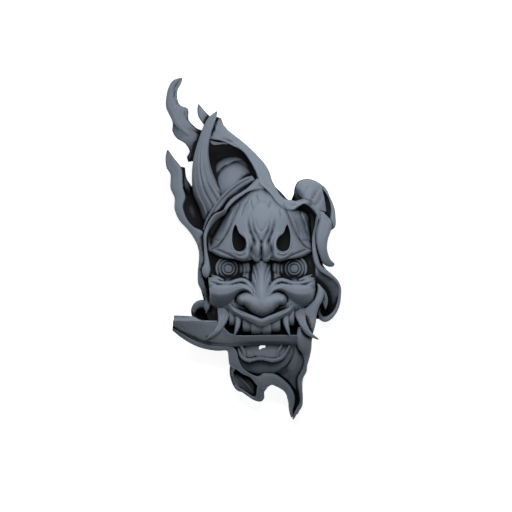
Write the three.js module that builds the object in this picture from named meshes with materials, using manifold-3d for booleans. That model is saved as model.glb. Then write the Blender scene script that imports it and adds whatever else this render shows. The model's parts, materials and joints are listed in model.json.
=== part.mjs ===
import * as THREE from "three";
import { mergeVertices } from "three/addons/utils/BufferGeometryUtils.js";
import Module from "manifold-3d";

const wasm = await Module();
wasm.setup();

// The outlines are drawn on a squared sheet seen from the front of the mask:
// across runs to the viewer's right, down runs to the chin, heights are in mm.
const SQUARE_MM = 1.2;
const SHEET_MIDDLE_ACROSS = 253.5;
const SHEET_MIDDLE_DOWN = 248.5;

const FACE_MIDLINE = 261.3;
const EYE_LINE = 268.6;
const EYE_OFFSET = 33;
const EYE_RADIUS = 13.2;
const EYE_BACK = 30;
const EYE_RINGS = [
  [EYE_RADIUS, 50], [12.2, 54.4], [10.3, 51.8], [9, 55.4], [7.3, 52.6], [5.7, 56.4],
  [4.3, 53.8], [3.3, 57], [0, 57.4],
];

const BACKING_THICKNESS = 10;
const BELOW_BACK = -6;
const TRIM_SIZE = 600;
const TRIM_DEPTH = 60;
const HORN_SIDES = 8;
const EYE_SEGMENTS = 14;
const SWELLING_SEGMENTS = 12;
const SWELLING_RINGS = 8;

const RESIN_COLOR = 0x7c838c;

const sheet = (across, down, height) => new THREE.Vector3(
  (across - SHEET_MIDDLE_ACROSS) * SQUARE_MM,
  (SHEET_MIDDLE_DOWN - down) * SQUARE_MM,
  height,
);

// A ribbon is ruled between two edges. Each row gives the two edge points and
// the height of the crown there: [across, down, across, down, height].
const RIBBONS = {
  hookFlame: {
    drop: 5, under: [12, 0], tilt: -3,
    rows: [[181.5, 77.3, 182.5, 79, 24], [173, 80.5, 181, 84, 27], [168.5, 87.5, 177.8, 90, 29],
      [166.3, 97, 177.3, 97.5, 30], [165.8, 105, 180, 105, 31], [167.5, 111, 188, 109, 32],
      [171.5, 119, 188.5, 119, 33], [177, 127, 192, 124, 35], [186, 135, 198, 129, 37],
      [198, 140, 206, 131, 38]],
  },
  hookFlank: {
    drop: 2, under: [4, 2], tilt: 13,
    rows: [[166, 108, 176, 108, 25], [172.5, 122, 180, 118, 27], [172.5, 131, 186, 127, 28],
      [177, 138.5, 196, 133, 31], [185, 143.5, 203, 140, 34], [189.5, 151, 202, 151, 33],
      [187, 157, 197.5, 158, 29], [188.3, 162, 194, 161, 24]],
  },
  smallTongue: {
    drop: 5, under: [14, 6],
    rows: [[198.2, 103.8, 199, 104, 32], [197.3, 110, 203.5, 109.5, 36], [198.5, 117, 209, 115.5, 39],
      [203, 123.5, 214, 120, 41], [206, 129, 218, 127, 42]],
  },
  hoodEdge: {
    drop: 6, under: [10, 0], tilt: -9,
    rows: [[214, 116, 221, 118, 34], [209, 128, 225, 127, 40], [209, 138, 233, 134, 46],
      [221, 141, 242, 141, 50], [232, 145.5, 250, 148, 54], [242, 151, 258, 156, 57],
      [249, 160, 265, 164, 60], [254, 169, 269.5, 172, 64], [257, 177, 272, 180, 67],
      [259, 184, 275, 186, 70], [264, 188, 277.5, 191, 72], [270, 194.5, 281, 196, 72],
      [277, 204, 286, 199.5, 72], [285, 210, 291, 200, 71], [293, 210.5, 296, 201, 69],
      [300, 206, 301, 199, 67], [305, 204, 307, 199.5, 66], [311, 208.5, 314, 203, 63],
      [316, 215, 320, 209, 59], [318.5, 220, 325, 213, 56]],
  },
  browBand: {
    drop: 5, under: [0, 0],
    rows: [[257, 178, 268, 189, 69], [247, 188, 251, 191, 67], [238, 194, 242, 196, 66],
      [231, 199, 234, 202, 65], [226, 205, 228.5, 208, 64], [222.5, 210.5, 225, 214.5, 63],
      [215, 213.5, 218, 219.5, 61], [210, 219, 211.5, 226.5, 60], [206, 227, 207.5, 234, 58],
      [203.5, 235, 206.5, 242, 56], [204, 248, 207.5, 252, 55], [204.5, 262, 209.5, 262, 56],
      [202, 269, 210.5, 270, 57], [203, 275, 209, 276, 55], [205.5, 278, 206.5, 278.5, 51]],
  },
  leftFlame: {
    drop: 5, under: [10, 0], tilt: 5,
    rows: [[167, 150, 168.5, 150, 22], [165.5, 158, 174, 158, 26], [166.5, 167.5, 181, 167, 29],
      [170.5, 175, 182.5, 174, 31], [170.5, 188, 183, 187, 33], [174.5, 198, 185.5, 197, 35],
      [174.5, 209, 183, 207, 37], [179, 220, 187, 219, 39], [187, 229, 194, 227, 41],
      [193, 237, 202, 231, 43], [198, 247, 206, 238, 44], [199, 256, 206, 250, 44],
      [198.5, 264, 206, 262, 44], [197.7, 273, 205, 272, 44], [198, 283, 204.5, 282, 44],
      [201, 290, 208, 291, 45], [205, 299, 211, 300, 47], [203.5, 306, 210, 307, 48],
      [205.5, 313, 206.5, 313, 44]],
  },
  leftFlameInner: {
    drop: 4, under: [6, 0],
    rows: [[181, 166.5, 185, 167.5, 18], [182, 176, 186.5, 178, 19], [183, 186, 191.5, 187, 18],
      [184, 196, 191, 198, 13]],
  },
  leftCurl: {
    drop: 5, under: [0, 12],
    rows: [[209, 300, 210, 308, 44], [203, 299.7, 205, 309, 42], [197, 301, 201, 308, 39],
      [193, 304.5, 197.2, 310, 37], [191, 310, 195.5, 313, 36], [192, 316, 196, 317, 36],
      [195, 321, 198.5, 321, 36]],
  },
  lowerWrap: {
    drop: 5, under: [24, 8], tilt: -4,
    rows: [[172.5, 327, 172.5, 330.5, 48], [181, 332, 179, 336, 51], [191, 338.5, 188, 342, 54],
      [200, 342.5, 196, 346, 56], [210, 345, 205, 349, 57], [220, 345.7, 217, 350.8, 57],
      [229, 345.8, 226, 350.6, 56], [234.5, 348, 228, 353, 54], [237.8, 353, 228.6, 360, 52],
      [239.5, 360, 230, 366, 50], [242.5, 366.5, 236, 369, 49], [247.5, 371.5, 243, 374, 49],
      [253.5, 375, 251, 378, 49], [259, 377, 259, 381, 50], [263, 373, 264, 384, 50],
      [269, 372.7, 269, 385, 49], [276, 374.5, 274, 385.5, 47], [283, 379, 280, 388.5, 43],
      [290, 386, 285, 392.5, 38], [294.5, 395, 288, 400, 34], [295, 403, 288.5, 407, 30],
      [293, 410, 289.5, 413, 27], [293.2, 417, 291.5, 418.5, 23]],
  },
  lowerLobe: {
    drop: 5, under: [0, 0], tilt: 4,
    rows: [[230, 364, 237, 367, 44], [229.5, 372, 233.5, 373, 40], [231, 380, 235.5, 381, 36],
      [234, 387, 239, 386.5, 33], [238, 391, 243, 389.5, 32], [244, 393, 248, 393, 31],
      [250, 398, 252, 395.5, 30], [256, 401, 255, 396.5, 30], [261, 401.5, 256, 394, 31],
      [264.3, 398, 256.5, 390, 33], [264.3, 392, 257.5, 386, 36], [267.5, 388, 258, 382, 40],
      [268, 383, 259, 378.5, 44]],
  },
  rightLeg: {
    drop: 6, under: [0, 8],
    rows: [[298, 327, 314.6, 327, 66], [296.5, 337, 312, 338, 67], [297.6, 347, 311.5, 348, 61],
      [302, 354, 309.8, 357, 51], [304, 361, 307.5, 365, 47], [302.5, 368, 306.5, 372, 43],
      [300, 373, 304, 376.5, 40], [297.5, 378, 302.7, 381, 37], [297.5, 386, 302.5, 389, 35],
      [299, 394, 303, 397, 32], [299.5, 402, 302.5, 405, 29], [296.5, 408, 300, 410, 27],
      [294, 414, 296.5, 415, 25], [293, 419, 293.8, 419.3, 22]],
  },
  rightSheet: {
    drop: 6, under: [0, 0],
    rows: [[317, 283, 320, 285, 56], [317.5, 290, 324, 291, 58], [315, 298, 323, 299, 60],
      [309, 305, 320, 305, 61], [304, 310, 318, 310, 62], [302, 318, 316.5, 316, 63],
      [301, 326, 315.8, 323, 65], [298, 334, 313.5, 332, 66]],
  },
  curlTongue: {
    drop: 5, under: [10, 22],
    rows: [[317, 284, 320, 285, 54], [319, 291, 325.5, 291.5, 52], [320.5, 298, 328, 299, 49],
      [323, 305, 327.3, 305.5, 45], [325.3, 309.5, 325.8, 309.5, 40]],
  },
  rightRibbon: {
    drop: 5, under: [0, 4],
    rows: [[316, 215, 319.5, 216, 59], [314.5, 225, 317.5, 225, 58], [312.3, 235, 315.5, 235, 57],
      [312, 246, 316, 246, 56], [312.7, 257, 318.5, 257, 55], [315, 265, 321, 265, 54],
      [319, 271, 327, 270, 52], [326, 275.5, 333, 275, 50], [333, 280, 338.5, 281, 47],
      [338, 287, 341.2, 288, 43], [338.3, 295, 341, 296, 40], [336.8, 303, 340, 304, 38],
      [334, 310, 337, 312, 37], [329, 315, 331, 319.5, 37], [324, 316.5, 324.5, 322, 37],
      [320.7, 312.5, 319, 319, 38], [320.3, 307, 317.5, 314, 40]],
  },
  rightFlap: {
    drop: 6, under: [0, 26],
    rows: [[319.5, 211, 324, 213, 60], [319, 221, 331, 221, 61], [316.1, 230, 331, 230, 62],
      [316, 240, 328, 239, 62], [317.5, 249, 327, 248, 60], [320, 257, 328.5, 255, 56],
      [322.5, 263, 331, 260, 51], [328, 266.5, 334.5, 263.5, 45], [333, 266.7, 334.2, 265.5, 41]],
  },
  rightRim: {
    drop: 5, under: [4, 0],
    rows: [[317, 184.5, 319, 182.5, 26], [323, 190, 325.5, 188.5, 29], [328, 197, 331, 199, 32],
      [330.5, 206, 334.3, 207.5, 35], [330.5, 214, 335.5, 216, 38], [329, 220, 335.5, 226, 42],
      [327, 226, 331, 230.5, 46]],
  },
  templeRoll: {
    drop: 9, under: [0, 0],
    rows: [[202.5, 230, 206, 231, 42], [206, 219, 210, 222, 46], [212, 208.5, 218, 212, 49],
      [219, 198, 225, 203, 51], [227, 189.5, 233, 195.5, 53], [236, 182.5, 241, 189, 54],
      [245, 177.5, 249.5, 185, 55], [252, 175.5, 257, 183.5, 56]],
  },
};

// Horns, tusks and fangs: [across, down, across, down, middle height, half depth].
const SPIKES = {
  leftHorn: [[216.8, 111, 217.3, 112, 48, 1], [209, 117, 216.5, 117, 52, 4], [203.5, 126, 213.5, 126, 54, 6],
    [199.5, 137, 210, 138, 55, 8], [196, 148, 208.5, 149.5, 54, 10], [193.2, 160, 209.5, 161, 52, 12],
    [192, 172, 212.5, 172, 43, 19], [192, 184, 218.5, 184, 33, 27], [194, 196, 226, 193, 28, 26],
    [199, 207, 232, 201, 25, 24], [203, 220, 237, 210, 21, 21]],
  rightHorn: [[306, 178.7, 308, 178.7, 22, 4], [301, 179.8, 313, 179.8, 23, 12],
    [297, 182.5, 318.5, 182.5, 26, 19], [295.2, 186, 321.5, 187, 29, 23],
    [294, 191, 323.6, 194, 32, 26], [295, 196, 325.4, 203, 34, 27], [300, 200, 326.6, 212, 34, 27]],
  leftTusk: [[217, 299, 230, 299, 40, 5], [217.2, 305.5, 229.8, 305.5, 47, 6],
    [217.4, 311, 229.6, 311.4, 56, 6], [218, 316.5, 228.8, 317, 67, 6],
    [217.4, 323, 226, 323.8, 73, 5.5], [213.5, 331, 220, 331.6, 77, 4.5],
    [206, 338.7, 206.5, 339.3, 76, 1]],
  rightTusk: [[294, 299, 306, 299, 40, 5], [294.2, 306, 306, 305.5, 47, 6],
    [294.6, 312, 305.8, 311, 56, 6], [295.8, 317.4, 305.6, 316, 66, 6],
    [298, 322, 306, 321, 70, 5.5], [301, 327.5, 308, 326.5, 73, 5],
    [307, 335, 311.5, 332.5, 73, 3.5], [318, 340, 318.8, 338.7, 71, 1]],
  leftFang: [[235, 314, 241.5, 315, 66, 5], [235.3, 322, 241, 322.5, 72, 5],
    [234.6, 329, 238.8, 329.5, 74, 4], [233.7, 335.5, 234.6, 335.7, 75, 1]],
  rightFang: [[282.5, 315, 289, 314, 66, 5], [283.2, 322.5, 289, 322, 72, 5],
    [285.6, 329.5, 289.6, 329, 74, 4], [289.8, 336.4, 290.6, 336.2, 75, 1]],
};

// Rounded swellings: [across, down, half width, half length, middle height, rise].
const SWELLINGS = {
  windowRim: [232, 185, 27, 29, 8, 28],
  windowDome: [235, 190, 20.5, 27, 28, 20],
  chin: [264, 351.5, 28.5, 23.5, 41, 16],
};

// Upper and lower teeth between the fangs: [left, right, top, bottom, front].
const TEETH = [
  [242.6, 251.1, 316, 331.6, 76], [251.3, 261.2, 316, 334, 79], [261.4, 271.2, 316, 334, 79],
  [271.4, 280, 316, 331.6, 76], [229.4, 235.2, 310, 325.6, 67], [288.4, 294.2, 310, 325.6, 67],
  [240.4, 246.8, 346, 358, 57], [247, 252.6, 348, 358, 59], [252.8, 259.2, 348, 359, 60],
  [259.4, 266.4, 348, 359, 60], [266.6, 273.4, 348, 358, 59], [273.6, 281, 346, 357, 57],
];

// Share of the way across, and share of the crown's rise over the edge.
const CROWN = [[0, 0], [0.16, 0.75], [0.5, 1], [0.84, 0.75], [1, 0]];
const FLAT = [[0, 0], [0.14, 1], [0.86, 1], [1, 0]];
const SHELF = [[0, 0.8], [0.12, 1], [0.42, 1], [0.75, 0.45], [1, 0]];

// Creased rolls of the face, ruled like the ribbons from the upper to the lower edge.
const MIDDLE_ROLLS = {
  bridge: {
    drop: 14, under: [40, 40],
    rows: [[253.4, 258, 269.4, 258, 65], [252.8, 267, 270, 267, 71], [252, 277, 270.8, 277, 81],
      [251.4, 287, 271.4, 287, 91], [252, 297, 271, 297, 98], [254, 304, 269, 304, 98]],
  },
  nose: {
    drop: 16, under: [40, 40],
    rows: [[236.8, 298, 236.8, 302, 82], [239.4, 293.4, 240.2, 305.8, 89], [245, 291.4, 246, 308, 91.5],
      [251, 292, 252, 311.6, 93.5], [257, 292, 257, 315, 97.5], [262, 292, 262, 317, 100],
      [267, 292, 267, 315, 97.5], [273, 292, 272, 311.6, 93.5], [279, 291.4, 278, 308, 91.5],
      [284.6, 293.4, 283.8, 305.8, 89], [287.2, 298, 287.2, 302, 82]],
  },
  upperLip: {
    drop: 8, under: [30, 30],
    rows: [[230.5, 302.5, 227.6, 306, 68], [234, 306.2, 231.5, 313, 76], [240, 310, 238.5, 317, 82.5],
      [248, 314.2, 246, 320.2, 87], [255, 317.6, 254, 323.6, 90], [261.4, 319.4, 261.4, 326, 91.5],
      [267.6, 317.6, 268.6, 323.6, 90], [274.6, 314.2, 276.6, 320.2, 87], [282.6, 310, 284.1, 317, 82.5],
      [288.6, 306.2, 291.1, 313, 76], [292.1, 302.5, 295, 306, 68]],
  },
  lowerLip: {
    drop: 6, under: [20, 20],
    rows: [[239.5, 347, 235, 350, 56], [241.5, 354.5, 238, 356, 61], [245, 358, 243, 361.5, 65],
      [251.5, 359.5, 251, 363.5, 69], [261, 358.5, 261, 362.3, 71], [270, 359.5, 270, 363.5, 69],
      [277, 358.5, 278.5, 362, 65], [281.5, 354, 285, 356, 61], [286, 346.5, 289.5, 348, 56]],
  },
};

// Rolls of the left half; the right half mirrors them.
const PAIRED_ROLLS = {
  cheek: {
    drop: 20, under: [30, 30], profile: SHELF,
    rows: [[209.8, 288, 209.8, 296, 73], [212.4, 285.2, 212.8, 302.6, 77.5], [217, 285, 218, 306.4, 79],
      [223, 285.2, 224, 307, 80.5], [229, 284.6, 230.5, 304.2, 82], [235, 283.6, 236.5, 296.4, 83.5],
      [241, 283.2, 242, 291.3, 85], [247, 286, 245.8, 291.2, 86.5], [251.6, 291.6, 250.2, 294, 88]],
  },
  lidRidge: {
    drop: 4, under: [40, 40],
    rows: [[209.5, 278, 209.5, 281.6, 60], [215, 279.6, 215, 283.4, 65.5], [221, 281.4, 221, 285, 71],
      [228, 281.6, 228, 285.6, 75.5], [235, 279.4, 236, 283.8, 79], [241, 277.4, 241.5, 283, 81.5],
      [246, 278.6, 245, 284, 83.5], [250, 282, 247.6, 286.4, 85.5], [254.4, 289.2, 250.9, 292.6, 87.5]],
  },
  frown: {
    drop: 6, under: [38, 38],
    rows: [[252, 217.6, 247.8, 217, 78.5], [254.5, 227.6, 249, 228, 81], [258, 235, 251, 236, 84.5],
      [261.6, 241.6, 253, 242, 86.5], [261.8, 249, 251.6, 249, 88.5], [261.8, 256, 250.8, 256, 88],
      [261.8, 262, 251, 262, 82]],
  },
};
// The mirrored rolls reach a little less deep, so that no two undersides lie in one plane.
const MIRROR_LIFT = 0.7;

// The blade gripped between the teeth, in three facets.
const BLADE = {
  back: {
    drop: 1.5, under: [34, 40], tilt: 7,
    rows: [[174, 315.3, 173.4, 321.4, 56], [184, 315.6, 184, 321.6, 60], [193, 316.6, 193, 321.6, 64],
      [205, 319, 205, 322.2, 69], [217, 322, 217, 324, 73]],
  },
  face: {
    drop: 1.5, under: [34, 46], tilt: -9,
    rows: [[173, 320.6, 172.7, 325, 56], [184, 320.8, 183, 330, 59], [194, 320.8, 193.5, 335, 63],
      [206, 321.2, 205, 340.4, 67], [220, 324, 220, 341.4, 71], [233, 334.5, 233, 342.4, 74],
      [262, 335, 262, 342.4, 75], [283, 335, 283, 342.4, 71], [300, 335, 300, 342.4, 62]],
  },
  edge: {
    drop: 1.5, under: [34, 40], tilt: -13,
    rows: [[173, 323.6, 172.6, 328, 50], [183, 328, 182, 334.4, 53], [194, 333.4, 192, 340.5, 56],
      [205, 338.6, 203, 345, 60], [220, 340, 219, 346.6, 64], [233, 341.3, 233, 346.6, 67],
      [262, 341.4, 262, 345.3, 68], [283, 341.4, 283, 345.3, 64], [300, 341.4, 300, 345.3, 55]],
  },
};

// Forehead, brow and face, row by row: [down, left side, right side, middle, side height].
const BROW_ROWS = [
  [183, 252, 270, 55, 40], [191, 243, 281, 66, 42], [200, 233, 290, 73, 42], [208, 224, 303, 77, 38],
  [216, 215, 313, 79, 34], [225, 209, 314, 79, 32], [234, 206, 314, 78, 33], [243, 206, 314.5, 78, 38],
  [251, 206, 315, 77, 42],
];
const BROW_COLUMNS = 14;
const BROW_UNDERSIDE = 34;
// Lower edge of the brow, left half: [across, down]. Rows above SAG_START stay straight.
const BROW_EDGE = [
  [206, 251], [216, 255], [229, 258.8], [238, 261], [244, 262.5], [250.6, 260], [256, 262.2], [261.3, 259],
];
const SAG_START = 216;
const SAG_END = 251;

const FACE_ROWS = [
  [184, 252, 270, 50, 44], [200, 235, 284, 50, 40], [216, 216, 314, 48, 34], [250, 205, 315, 48, 32],
  [262, 206, 317, 48, 32], [270, 206, 317.5, 49, 38], [277, 206, 317, 55, 46], [282, 206.5, 316.5, 68, 50],
  [292, 208.5, 316.5, 74, 52], [302, 209.5, 317, 74, 42], [311, 206, 317, 73, 30], [318, 208, 314, 70, 26],
  [324, 208, 313, 50, 22], [335, 210, 306, 42, 22], [345, 228, 302, 42, 22], [354, 234, 303, 40, 24],
  [362, 238, 305, 38, 24], [369, 243, 305, 36, 22], [376, 252, 303, 33, 20], [383, 268, 298, 28, 16],
  [390, 284, 298, 22, 12],
];
const FACE_COLUMNS = 10;
const FACE_ROUNDNESS = 2.6;

// Open hollow behind the face: [down, left side, right side, depth].
const HOLLOW_ROWS = [
  [198, 246, 278, 24], [209, 232, 293, 42], [222, 220, 306, 43], [250, 213, 309, 42],
  [268, 212, 311, 41], [280, 212, 313, 52], [290, 213, 313, 62], [300, 213, 313, 62],
  [308, 214, 311, 55], [319, 215, 307, 42], [329, 220, 301, 33], [345, 236, 296, 33],
  [357, 241, 296, 33], [368, 249, 293, 26],
];
// Deeper middle of the hollow, behind the forehead and the nose.
const NOSE_HOLLOW_ROWS = [
  [208, 252, 271, 44], [219, 249.5, 273, 64], [252, 251, 271.6, 65], [262, 254.5, 268, 56],
  [272, 254.5, 268.4, 62], [286, 253, 270, 78], [296, 251, 272, 84], [304, 251, 272, 84],
  [313, 255, 268, 60],
];
const HOLLOW_COLUMNS = 8;
const HOLLOW_ROUNDNESS = 3.2;
const HOLLOW_MOUTH = -9;

// Tear-shaped pockets through the brows, left one; the right one mirrors it.
const POCKET_FLOOR = 50;
const POCKET_OUTLINE = [
  [235.5, 223.5], [233, 229], [232, 236], [232, 244], [234.5, 250], [239, 252],
  [244, 250.5], [246.3, 246], [245.5, 239.5], [241.5, 234.5], [238.3, 230],
];

// Slot that opens right through under the blade.
const SLOT_OUTLINE = [
  [261.6, 345.7], [266.2, 345.7], [266.3, 347.8], [262.4, 348.1], [261, 349.2], [259, 349.2], [259.2, 347.2],
];
const SLOT_HEIGHT = 90;

// Flat backing that carries the hood and the ribbons.
const BACKING_OUTLINE = [
  [204, 134], [212, 124], [222, 123], [232, 135], [249, 149], [264, 165], [271, 181], [280, 196],
  [294, 202], [297, 186], [306, 180], [319, 184], [327, 194], [333, 208], [334, 224], [325, 236],
  [322, 250], [323, 265], [330, 275], [338, 284], [339, 298], [335, 310], [329, 319], [321, 319],
  [316, 319], [312.5, 336], [310.5, 352], [306, 364], [303, 374], [300, 384], [300, 404], [293, 418],
  [290, 410], [289, 396], [279, 386], [267, 383], [266, 389], [262, 396], [258, 399], [250, 396],
  [240, 389], [233, 379], [232, 366], [229, 350], [207, 347], [205, 338], [207, 322], [197, 319],
  [194, 313], [196, 304], [204, 301], [201, 290], [199, 276], [200, 256], [196, 240], [183, 221],
  [176.5, 205], [177, 196], [184, 190], [190, 187.5], [193, 188], [194.5, 178], [196.5, 156], [200, 144],
];

function loft(rings) {
  const size = rings[0].length;
  const positions = rings.flat().flatMap((p) => [p.x, p.y, p.z]);
  const indices = [];
  for (let row = 0; row + 1 < rings.length; row += 1) {
    for (let i = 0; i < size; i += 1) {
      const here = row * size + i;
      const next = row * size + ((i + 1) % size);
      indices.push(here, next, here + size, next, next + size, here + size);
    }
  }
  [[0, true], [rings.length - 1, false]].forEach(([row, first]) => {
    const centre = new THREE.Vector3();
    rings[row].forEach((p) => centre.addScaledVector(p, 1 / size));
    const hub = positions.length / 3;
    positions.push(centre.x, centre.y, centre.z);
    for (let i = 0; i < size; i += 1) {
      const here = row * size + i;
      const next = row * size + ((i + 1) % size);
      indices.push(hub, first ? next : here, first ? here : next);
    }
  });
  const geometry = new THREE.BufferGeometry();
  geometry.setAttribute("position", new THREE.Float32BufferAttribute(positions, 3));
  geometry.setIndex(indices);
  return solid(geometry);
}

function signedVolume(geometry) {
  const at = geometry.attributes.position;
  const index = geometry.index.array;
  const corners = [new THREE.Vector3(), new THREE.Vector3(), new THREE.Vector3()];
  let total = 0;
  for (let i = 0; i < index.length; i += 3) {
    corners.forEach((corner, k) => corner.fromBufferAttribute(at, index[i + k]));
    total += corners[0].dot(corners[1].cross(corners[2]));
  }
  return total;
}

function solid(source) {
  const bare = source.clone();
  bare.deleteAttribute("normal");
  bare.deleteAttribute("uv");
  const geometry = mergeVertices(bare, 1e-4);
  const triVerts = new Uint32Array(geometry.index.array);
  if (signedVolume(geometry) < 0) {
    for (let i = 0; i < triVerts.length; i += 3) {
      [triVerts[i], triVerts[i + 1]] = [triVerts[i + 1], triVerts[i]];
    }
  }
  const vertProperties = new Float32Array(geometry.attributes.position.array);
  return new wasm.Manifold(new wasm.Mesh({ numProp: 3, vertProperties, triVerts }));
}

const edgePoints = (row) => [sheet(row[0], row[1], row[4]), sheet(row[2], row[3], row[4])];

function ribbon({ drop, under, rows, tilt = 0, profile = CROWN }) {
  return loft(rows.map((row, i) => {
    const [a, b] = edgePoints(row);
    const lift = THREE.MathUtils.lerp(under[0], under[1], i / (rows.length - 1));
    const base = lift > 0 ? lift : BELOW_BACK;
    const ring = profile.map(([share, rise]) => {
      const p = a.clone().lerp(b, share);
      p.z += drop * (rise - 1) + tilt * (share - 0.5);
      return p;
    });
    return [...ring, b.setZ(base), a.setZ(base)];
  }));
}

const mirrorOf = (x) => 2 * FACE_MIDLINE - x;

const mirroredRoll = (roll) => ({
  ...roll,
  under: roll.under.map((height) => height + MIRROR_LIFT),
  rows: roll.rows.map(([ax, ay, bx, by, height]) => [mirrorOf(ax), ay, mirrorOf(bx), by, height]),
});

function spike(rows) {
  return loft(rows.map((row) => {
    const [a, b] = edgePoints(row);
    return Array.from({ length: HORN_SIDES }, (_, k) => {
      const turn = (k / HORN_SIDES) * 2 * Math.PI;
      const p = a.clone().lerp(b, 0.5 - 0.5 * Math.cos(turn));
      p.z += row[5] * Math.sin(turn);
      return p;
    });
  }));
}

function swelling([across, down, halfWidth, halfLength, middle, rise]) {
  const ball = new THREE.SphereGeometry(1, SWELLING_SEGMENTS, SWELLING_RINGS);
  ball.scale(halfWidth * SQUARE_MM, halfLength * SQUARE_MM, rise);
  const centre = sheet(across, down, middle);
  ball.translate(centre.x, centre.y, centre.z);
  return solid(ball);
}

// Share of the way down the tooth, share of its width, and how far it bulges.
const TOOTH_LEVELS = [[0, 0.86, 0], [0.4, 1, 2], [0.92, 0.92, 1], [1, 0.6, -3]];
const TOOTH_ROOT = 38;
const TOOTH_CORNER = 5;
const TOOTH_FLAT = 0.6;

function tooth([left, right, top, bottom, front]) {
  const middle = (left + right) / 2;
  return loft(TOOTH_LEVELS.map(([share, width, bulge]) => {
    const half = ((right - left) / 2) * width;
    const down = THREE.MathUtils.lerp(top, bottom, share);
    const across = [-half, -half, -half * TOOTH_FLAT, half * TOOTH_FLAT, half, half];
    const corner = front - TOOTH_CORNER + bulge / 2;
    const heights = [TOOTH_ROOT, corner, front + bulge, front + bulge, corner, TOOTH_ROOT];
    return across.map((offset, i) => sheet(middle + offset, down, heights[i]));
  }));
}

function eye(side) {
  const profile = [[0, EYE_BACK], [EYE_RADIUS, EYE_BACK], ...EYE_RINGS].map(
    ([radius, height]) => new THREE.Vector2(radius * SQUARE_MM, height),
  );
  const ball = new THREE.LatheGeometry(profile, EYE_SEGMENTS);
  ball.rotateX(Math.PI / 2);
  const centre = sheet(FACE_MIDLINE + side * EYE_OFFSET, EYE_LINE, 0);
  ball.translate(centre.x, centre.y, 0);
  return solid(ball);
}

function archedRow([down, left, right, middle, side], roundness, columns, sagAt = () => 0) {
  const points = [];
  for (let i = 0; i <= columns; i += 1) {
    const turn = (i / columns) * 2 - 1;
    const across = THREE.MathUtils.lerp(left, right, (turn + 1) / 2);
    const height = side + (middle - side) * (1 - Math.abs(turn) ** roundness);
    points.push(sheet(across, down + sagAt(across), height));
  }
  return points;
}

function face() {
  return loft(FACE_ROWS.map((row) => [
    ...archedRow(row, FACE_ROUNDNESS, FACE_COLUMNS),
    sheet(row[2], row[0], BELOW_BACK),
    sheet(row[1], row[0], BELOW_BACK),
  ]));
}

function browLine(x) {
  const near = Math.min(x, mirrorOf(x));
  const next = BROW_EDGE.findIndex(([edge], i) => i > 0 && near <= edge);
  const [[fromX, fromDown], [toX, toDown]] = BROW_EDGE.slice(next - 1, next + 1);
  return THREE.MathUtils.mapLinear(Math.max(near, fromX), fromX, toX, fromDown, toDown);
}

function browShield() {
  return loft(BROW_ROWS.map((row) => {
    const share = THREE.MathUtils.clamp((row[0] - SAG_START) / (SAG_END - SAG_START), 0, 1);
    const sagAt = (x) => share * (browLine(x) - SAG_END);
    return [
      ...archedRow(row, FACE_ROUNDNESS, BROW_COLUMNS, sagAt),
      sheet(row[2], row[0], BROW_UNDERSIDE),
      sheet(row[1], row[0], BROW_UNDERSIDE),
    ];
  }));
}

function hollow(rows) {
  return loft(rows.map(([down, left, right, depth]) => [
    ...archedRow([down, left, right, depth, 0], HOLLOW_ROUNDNESS, HOLLOW_COLUMNS),
    sheet(right, down, HOLLOW_MOUTH),
    sheet(left, down, HOLLOW_MOUTH),
  ]));
}

function slab(outline, from, to) {
  const flat = outline.map(([across, down]) => sheet(across, down, 0));
  const shape = new THREE.Shape(flat.map((p) => new THREE.Vector2(p.x, p.y)));
  const block = new THREE.ExtrudeGeometry(shape, { depth: to - from, bevelEnabled: false });
  block.translate(0, 0, from);
  return solid(block);
}

const mirrored = (outline) => outline.map(([x, down]) => [mirrorOf(x), down]);

function slot() {
  return slab(SLOT_OUTLINE, HOLLOW_MOUTH, SLOT_HEIGHT);
}

function belowBack() {
  const block = new THREE.BoxGeometry(TRIM_SIZE, TRIM_SIZE, TRIM_DEPTH);
  block.translate(0, 0, -TRIM_DEPTH / 2);
  return solid(block);
}

function oniMask() {
  const added = [
    ...Object.values(RIBBONS).map((band) => ribbon({ profile: FLAT, ...band })),
    ...Object.values(SPIKES).map(spike),
    ...Object.values(SWELLINGS).map(swelling),
    ...TEETH.map(tooth),
    ...Object.values(MIDDLE_ROLLS).map(ribbon),
    ...Object.values(PAIRED_ROLLS).flatMap((roll) => [ribbon(roll), ribbon(mirroredRoll(roll))]),
    ...Object.values(BLADE).map((facet) => ribbon({ profile: FLAT, ...facet })),
    eye(-1),
    eye(1),
  ];
  const pockets = [POCKET_OUTLINE, mirrored(POCKET_OUTLINE)].map((o) => slab(o, POCKET_FLOOR, SLOT_HEIGHT));
  const shield = pockets.reduce((body, pocket) => body.subtract(pocket), face().add(browShield()));
  const backing = slab(BACKING_OUTLINE, BELOW_BACK, BACKING_THICKNESS);
  const whole = added.reduce((body, piece) => body.add(piece), shield.add(backing));
  const openings = [hollow(HOLLOW_ROWS), hollow(NOSE_HOLLOW_ROWS), slot(), belowBack()];
  return openings.reduce((body, opening) => body.subtract(opening), whole);
}

function toGeometry(manifold) {
  const { vertProperties, triVerts, numProp } = manifold.getMesh();
  const positions = new Float32Array((vertProperties.length / numProp) * 3);
  for (let i = 0; i < positions.length / 3; i += 1) {
    positions.set(vertProperties.subarray(i * numProp, i * numProp + 3), i * 3);
  }
  const geometry = new THREE.BufferGeometry();
  geometry.setAttribute("position", new THREE.BufferAttribute(positions, 3));
  geometry.setIndex(new THREE.BufferAttribute(triVerts, 1));
  geometry.computeVertexNormals();
  return geometry;
}

// The origin is the middle of the outline, on the flat back.
function centred(geometry) {
  geometry.computeBoundingBox();
  const middle = geometry.boundingBox.getCenter(new THREE.Vector3());
  return geometry.translate(-middle.x, -middle.y, 0);
}

const resin = new THREE.MeshStandardMaterial({ name: "painted_resin", color: RESIN_COLOR, roughness: 0.7 });

const maskBody = new THREE.Mesh(centred(toGeometry(oniMask())), resin);
maskBody.name = "oni_mask";

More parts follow.
